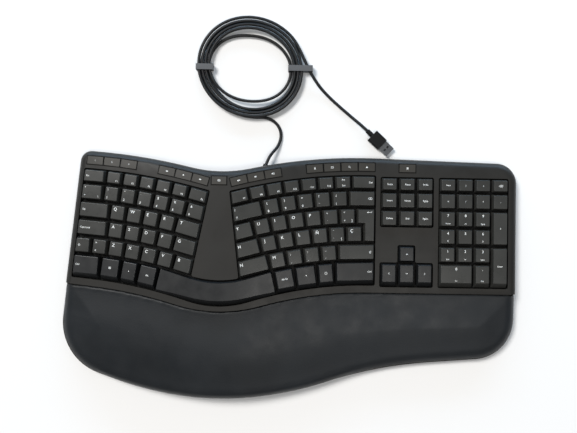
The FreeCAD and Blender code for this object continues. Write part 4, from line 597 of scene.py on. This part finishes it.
FINE_LINE_MM, THIN_LINE_MM, FIRM_LINE_MM, THICK_LINE_MM = 0.24, 0.26, 0.28, 0.42
NEAR_WAVE = ring(1.0, -0.4, 0, -40, 40, 6)
LOUD_WAVES = [ring(0.9, -0.4, 0, -40, 40, 6), ring(1.7, -0.4, 0, -40, 40, 6)]
SPEAKER = [(-1.6, -0.4), (-1.0, -0.4), (-0.3, -1.0), (-0.3, 1.0), (-1.0, 0.4), (-1.6, 0.4)]
DRAWINGS = {
    "up": lines([(-0.9, -0.5), (0, 0.5), (0.9, -0.5)]),
    "down": lines([(-0.9, 0.5), (0, -0.5), (0.9, 0.5)]),
    "left": lines([(0.5, -0.9), (-0.5, 0), (0.5, 0.9)]),
    "right": lines([(-0.5, -0.9), (0.5, 0), (-0.5, 0.9)]),
    "backspace": lines([(-2.0, 0), (-0.9, 1.0), (2.0, 1.0), (2.0, -1.0), (-0.9, -1.0), (-2.0, 0)],
                       [(-0.3, 0.5), (0.8, -0.5)], [(-0.3, -0.5), (0.8, 0.5)],
                       width=THIN_LINE_MM),
    "shift": lines([(-0.5, -1.2), (-0.5, 0.0), (-1.2, 0.0), (0, 1.3), (1.2, 0.0), (0.5, 0.0),
                    (0.5, -1.2), (-0.5, -1.2)], width=THIN_LINE_MM),
    "tab": lines([(-1.5, 0.6), (1.4, 0.6)], [(-0.8, 1.1), (-1.5, 0.6), (-0.8, 0.1)],
                 [(-1.4, -0.6), (1.5, -0.6)], [(0.8, -1.1), (1.5, -0.6), (0.8, -0.1)],
                 width=FINE_LINE_MM),
    "enter": lines([(2.4, 1.0), (2.4, 0), (-2.4, 0)], [(-1.6, 0.7), (-2.4, 0), (-1.6, -0.7)],
                   width=FIRM_LINE_MM),
    "play": solid([(-0.7, -0.9), (0.9, 0), (-0.7, 0.9)]),
    "previous": solid([(1.2, -0.8), (1.2, 0.8), (0, 0)], [(0, -0.8), (0, 0.8), (-1.2, 0)]),
    "next": solid([(-1.2, -0.8), (0, 0), (-1.2, 0.8)], [(0, -0.8), (1.2, 0), (0, 0.8)]),
    "mute": merged(solid(SPEAKER), lines([(0.3, 0.5), (1.3, -0.5)], [(0.3, -0.5), (1.3, 0.5)])),
    "quieter": merged(solid(SPEAKER), lines(NEAR_WAVE)),
    "louder": merged(solid(SPEAKER), lines(*LOUD_WAVES)),
    "grid": lines(box_path(2.6, 1.8), [(-0.4, -0.9), (-0.4, 0.9)], [(0.5, -0.9), (0.5, 0.9)],
                  width=FINE_LINE_MM),
    "page": lines(box_path(1.3, 1.9), *dashes(0.3, 0.3, -0.2), width=FINE_LINE_MM),
    "screen": lines(box_path(2.6, 1.5), width=FIRM_LINE_MM),
    "loupe": lines(ring(0.8, -0.2, 0.2), [(0.4, -0.4), (1.1, -1.0)], width=FIRM_LINE_MM),
    "lock": merged(solid([(-0.8, -1.0), (0.8, -1.0), (0.8, 0.1), (-0.8, 0.1)]),
                   lines(ring(0.5, 0, 0.1, 0, 180, 8), width=THIN_LINE_MM)),
    "sums": lines(box_path(1.6, 2.0), *dashes(0.4, 0.5, 0, -0.5), width=FINE_LINE_MM),
    "dot": solid(ring(0.5)[:-1]),
    "ring": lines(ring(1.25), width=THICK_LINE_MM),
    "menu": lines(box_path(2.0, 2.2), *dashes(0.5, 0.5, 0, -0.5), width=THIN_LINE_MM),
}


def drawing(what, cap_mm):
    """Outline, faces, width and height of a symbol by its name, or of a text."""
    if what in DRAWINGS:
        places, faces = DRAWINGS[what]
        xs = [x for x, _ in places]
        ys = [y for _, y in places]
        return places, faces, max(xs) - min(xs), max(ys) - min(ys)
    return text_outline(what, cap_mm)


MARGIN_X_MM = 2.4
MARGIN_Y_MM = 1.7


def spot_of(spot, width, depth, wide, high):
    """Middle of a legend at a spot: t, b or m for its height, then l, r or c."""
    aside = width / 2 - MARGIN_X_MM - wide / 2
    away = depth / 2 - MARGIN_Y_MM - high / 2
    across = {"l": -aside, "r": aside, "c": 0.0}
    along = {"t": away, "b": -away, "m": 0.0}
    return across[spot[1]], along[spot[0]]


def letters(text):
    return [[("tl", letter, LETTER)] for letter in text]


def doubles(*pairs):
    return [[("tl", upper, SMALL), ("bl", lower, SMALL)] for upper, lower in pairs]


def triple(upper, lower, third):
    return [[("tl", upper, SMALL), ("bl", lower, SMALL), ("br", third, SMALL)]]


def words(*texts, spot="mc", size=WORD):
    return [[(spot, text, size)] for text in texts]


def pad_keys(*pairs):
    """Keys of the number pad: a digit above, and a word or nothing below."""
    return [[("tc", digit, PAD_DIGIT)] + ([("bc", word, PAD_WORD)] if word else [])
            for digit, word in pairs]


def function_keys(first, last):
    return words(*["F%d" % number for number in range(first, last + 1)], spot="br")


LEGENDS = {
    "keys_function_left": words("Esc", spot="ml") + function_keys(1, 6),
    "keys_number_left": triple("ª", "º", "\\") + doubles("!1", "\"2", "·3", "$4", "%5", "&6"),
    "key_tab": words("tab", spot="ml"),
    "keys_upper_left": letters("QWERT"),
    "key_caps_lock": words("Caps Lock", spot="ml"),
    "keys_home_left": letters("ASDFG"),
    "key_shift_left": words("shift", spot="ml"),
    "keys_lower_left": doubles("><") + letters("ZXCVB"),
    "keys_bottom_left": words("Ctrl", spot="ml") + words("menu", "dot", "Alt"),
    "keys_function_right": function_keys(7, 12) + [[("tc", "Prt", WORD), ("bc", "Scn", WORD)]]
    + words("Del", spot="mr"),
    "keys_number_right": doubles("/7", "(8", ")9", "=0", "?'", "¿¡"),
    "key_backspace": words("backspace", spot="mr"),
    "keys_upper_right": letters("YUIOP") + doubles("^`") + triple("*", "+", "]"),
    "keys_home_right": letters("HJKLÑ") + triple("¨", "´", "{") + letters("Ç"),
    "key_enter": words("enter", spot="tr"),
    "keys_lower_right": letters("NM") + doubles(";,", ":.", "_-"),
    "key_shift_right": words("shift", spot="mr"),
    "keys_bottom_right": words("Alt Gr", "dot", "ring") + words("Ctrl", spot="mr"),
    "keys_nav_top": words("ScrLk", "Pause", "PrtSc"),
    "keys_nav_middle": words("Insert", "Home", "PgUp"),
    "keys_nav_bottom": words("Delete", "End", "PgDn"),
    "key_arrow_up": words("up"),
    "key_arrow_left": words("left"),
    "key_arrow_down": words("down"),
    "key_arrow_right": words("right"),
    "keys_pad_function": words("Num", "(", ")", "backspace", size=NUMERAL),
    "keys_pad_operators": words("=", "/", "*", "-", size=PAD_SIGN),
    "keys_pad_789": pad_keys(("7", "Home"), ("8", "up"), ("9", "PgUp")),
    "keys_pad_456": pad_keys(("4", "left"), ("5", ""), ("6", "right")),
    "keys_pad_123": pad_keys(("1", "End"), ("2", "down"), ("3", "PgDn")),
    "key_pad_plus": words("+", size=PAD_SIGN),
    "key_pad_enter": words("Enter"),
    "key_pad_zero": pad_keys(("0", "Ins")),
    "key_pad_decimal": pad_keys((".", "Del")),
    "buttons_favorites": words("1", "2", "3", size=NUMERAL),
    "buttons_media": words("previous", "play", "next", "grid", "mute", "quieter", "louder"),
    "buttons_shortcut": words("page", "screen", "loupe", "lock"),
    "button_calculator": words("sums"),
}
PRINT_LIFT_MM = 0.03

for name, rows in LEGENDS.items():
    tops = key_tops(name)
    if len(tops) != len(rows):
        raise ValueError("%s has %d tops and %d legends" % (name, len(tops), len(rows)))
    places, faces = [], []
    for (matrix, width, depth), marks in zip(tops, rows):
        for spot, what, size in marks:
            outline, polygons, wide, high = drawing(what, size)
            x, y = spot_of(spot, width, depth, wide, high)
            start = len(places)
            places += [matrix @ (Vector((x + px, y + py, PRINT_LIFT_MM)) * MM)
                       for px, py in outline]
            faces += [[start + index for index in polygon] for polygon in polygons]
    mesh = bpy.data.meshes.new("legend_" + name)
    mesh.from_pydata(places, [], faces)
    mesh.materials.append(LEGEND.material)
    printed = placed("legend_" + name, mesh)
    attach(printed, NODES[name]["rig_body"])


# Painted shade: a thin dark frame on the deck round each flush button, standing in for the shade in
# the gap round it

SHADE_FRAME_WIDTH_MM = 0.6
BUTTON_GAP_MM = 0.4
BUTTON_RISE_MM = 0.5
SHADE_FRAME_LIFT_MM = 0.12


def rebate(width, depth):
    """Painted gap shade: a narrow closed dark frame from the edge of a button's hole outwards, in
    the button's own frame.
    """
    shape = bmesh.new()
    rings = []
    for grow in (BUTTON_GAP_MM, BUTTON_GAP_MM + SHADE_FRAME_WIDTH_MM):
        for height in (-SHADE_FRAME_LIFT_MM, SHADE_FRAME_LIFT_MM):
            w, d = width / 2 + grow, depth / 2 + grow
            rings.append([shape.verts.new(Vector((x, y, height - BUTTON_RISE_MM)) * MM)
                          for x, y in ((-w, -d), (w, -d), (w, d), (-w, d))])
    inner_low, inner_high, outer_low, outer_high = rings
    for one, other in ((inner_low, inner_high), (inner_high, outer_high),
                       (outer_high, outer_low), (outer_low, inner_low)):
        for index in range(4):
            after = (index + 1) % 4
            shape.faces.new((one[index], one[after], other[after], other[index]))
    return shape


def add_piece(name, shape, slot):
    """A piece on the case, in the finish of a slot."""
    bmesh.ops.recalc_face_normals(shape, faces=shape.faces)
    mesh = bpy.data.meshes.new(name)
    shape.to_mesh(mesh)
    shape.free()
    mesh.materials.append(SURFACES[slot].material)
    piece = placed(name, mesh)
    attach(piece, BODY)


# Each button gets a dark frame of painted shade round its hole, for the shade in the gap beside it
for name in BUTTON_NODES:
    shade_frames = bmesh.new()
    for matrix, width, depth in key_tops(name):
        one = rebate(width, depth)
        one.transform(matrix)
        part_mesh = bpy.data.meshes.new("frame")
        one.to_mesh(part_mesh)
        one.free()
        shade_frames.from_mesh(part_mesh)
        bpy.data.meshes.remove(part_mesh)
    add_piece("rebate_" + name, shade_frames, "guide_plate")


# The two square openings on either face of the plug's metal shell, as thin dark plates: painted
# shade in place of the holes

PLUG_TURN = math.radians(-43.0)
MOUTH_AHEAD_MM = 35.0
OPENING_BEHIND_MOUTH_MM = 6.2
OPENING_SIDE_MM = 2.25
OPENING_MM = (2.0, 2.5, 0.08)
SHELL_HALF_MM = 2.25

plug_frame = Matrix.Translation(Vector(PLUG_MM) * MM) @ Matrix.Rotation(PLUG_TURN, 4, "Z")
opening_size = Matrix.Diagonal([side * MM for side in OPENING_MM] + [1])
# Thin dark plates on the shell, painted shade standing in for the shaded inside of each opening
opening_shade_plates = bmesh.new()
for face in (-1, 1):
    for side in (-1, 1):
        centre = Vector((MOUTH_AHEAD_MM - OPENING_BEHIND_MOUTH_MM, side * OPENING_SIDE_MM,
                         face * SHELL_HALF_MM)) * MM
        bmesh.ops.create_cube(opening_shade_plates, size=1,
                              matrix=plug_frame @ Matrix.Translation(centre) @ opening_size)
add_piece("plug_opening_painted_shade", opening_shade_plates, "guide_plate")


# Pale floor

FLOOR_REACH = 3
FLOOR_COLOUR = (0.74, 0.74, 0.74, 1)

floor_mesh = bpy.data.meshes.new("floor")
floor_mesh.from_pydata([(x * FLOOR_REACH, y * FLOOR_REACH, 0)
                        for x, y in ((-1, -1), (1, -1), (1, 1), (-1, 1))], [], [(0, 1, 2, 3)])
floor = placed("floor", floor_mesh)
floor_surface = Surface("floor_paper", FLOOR_COLOUR, 0.7, specular=0.2)
floor_surface.bump(floor_surface.noise(1.5, 2), 0.01, 0.2)
floor_mesh.materials.append(floor_surface.material)
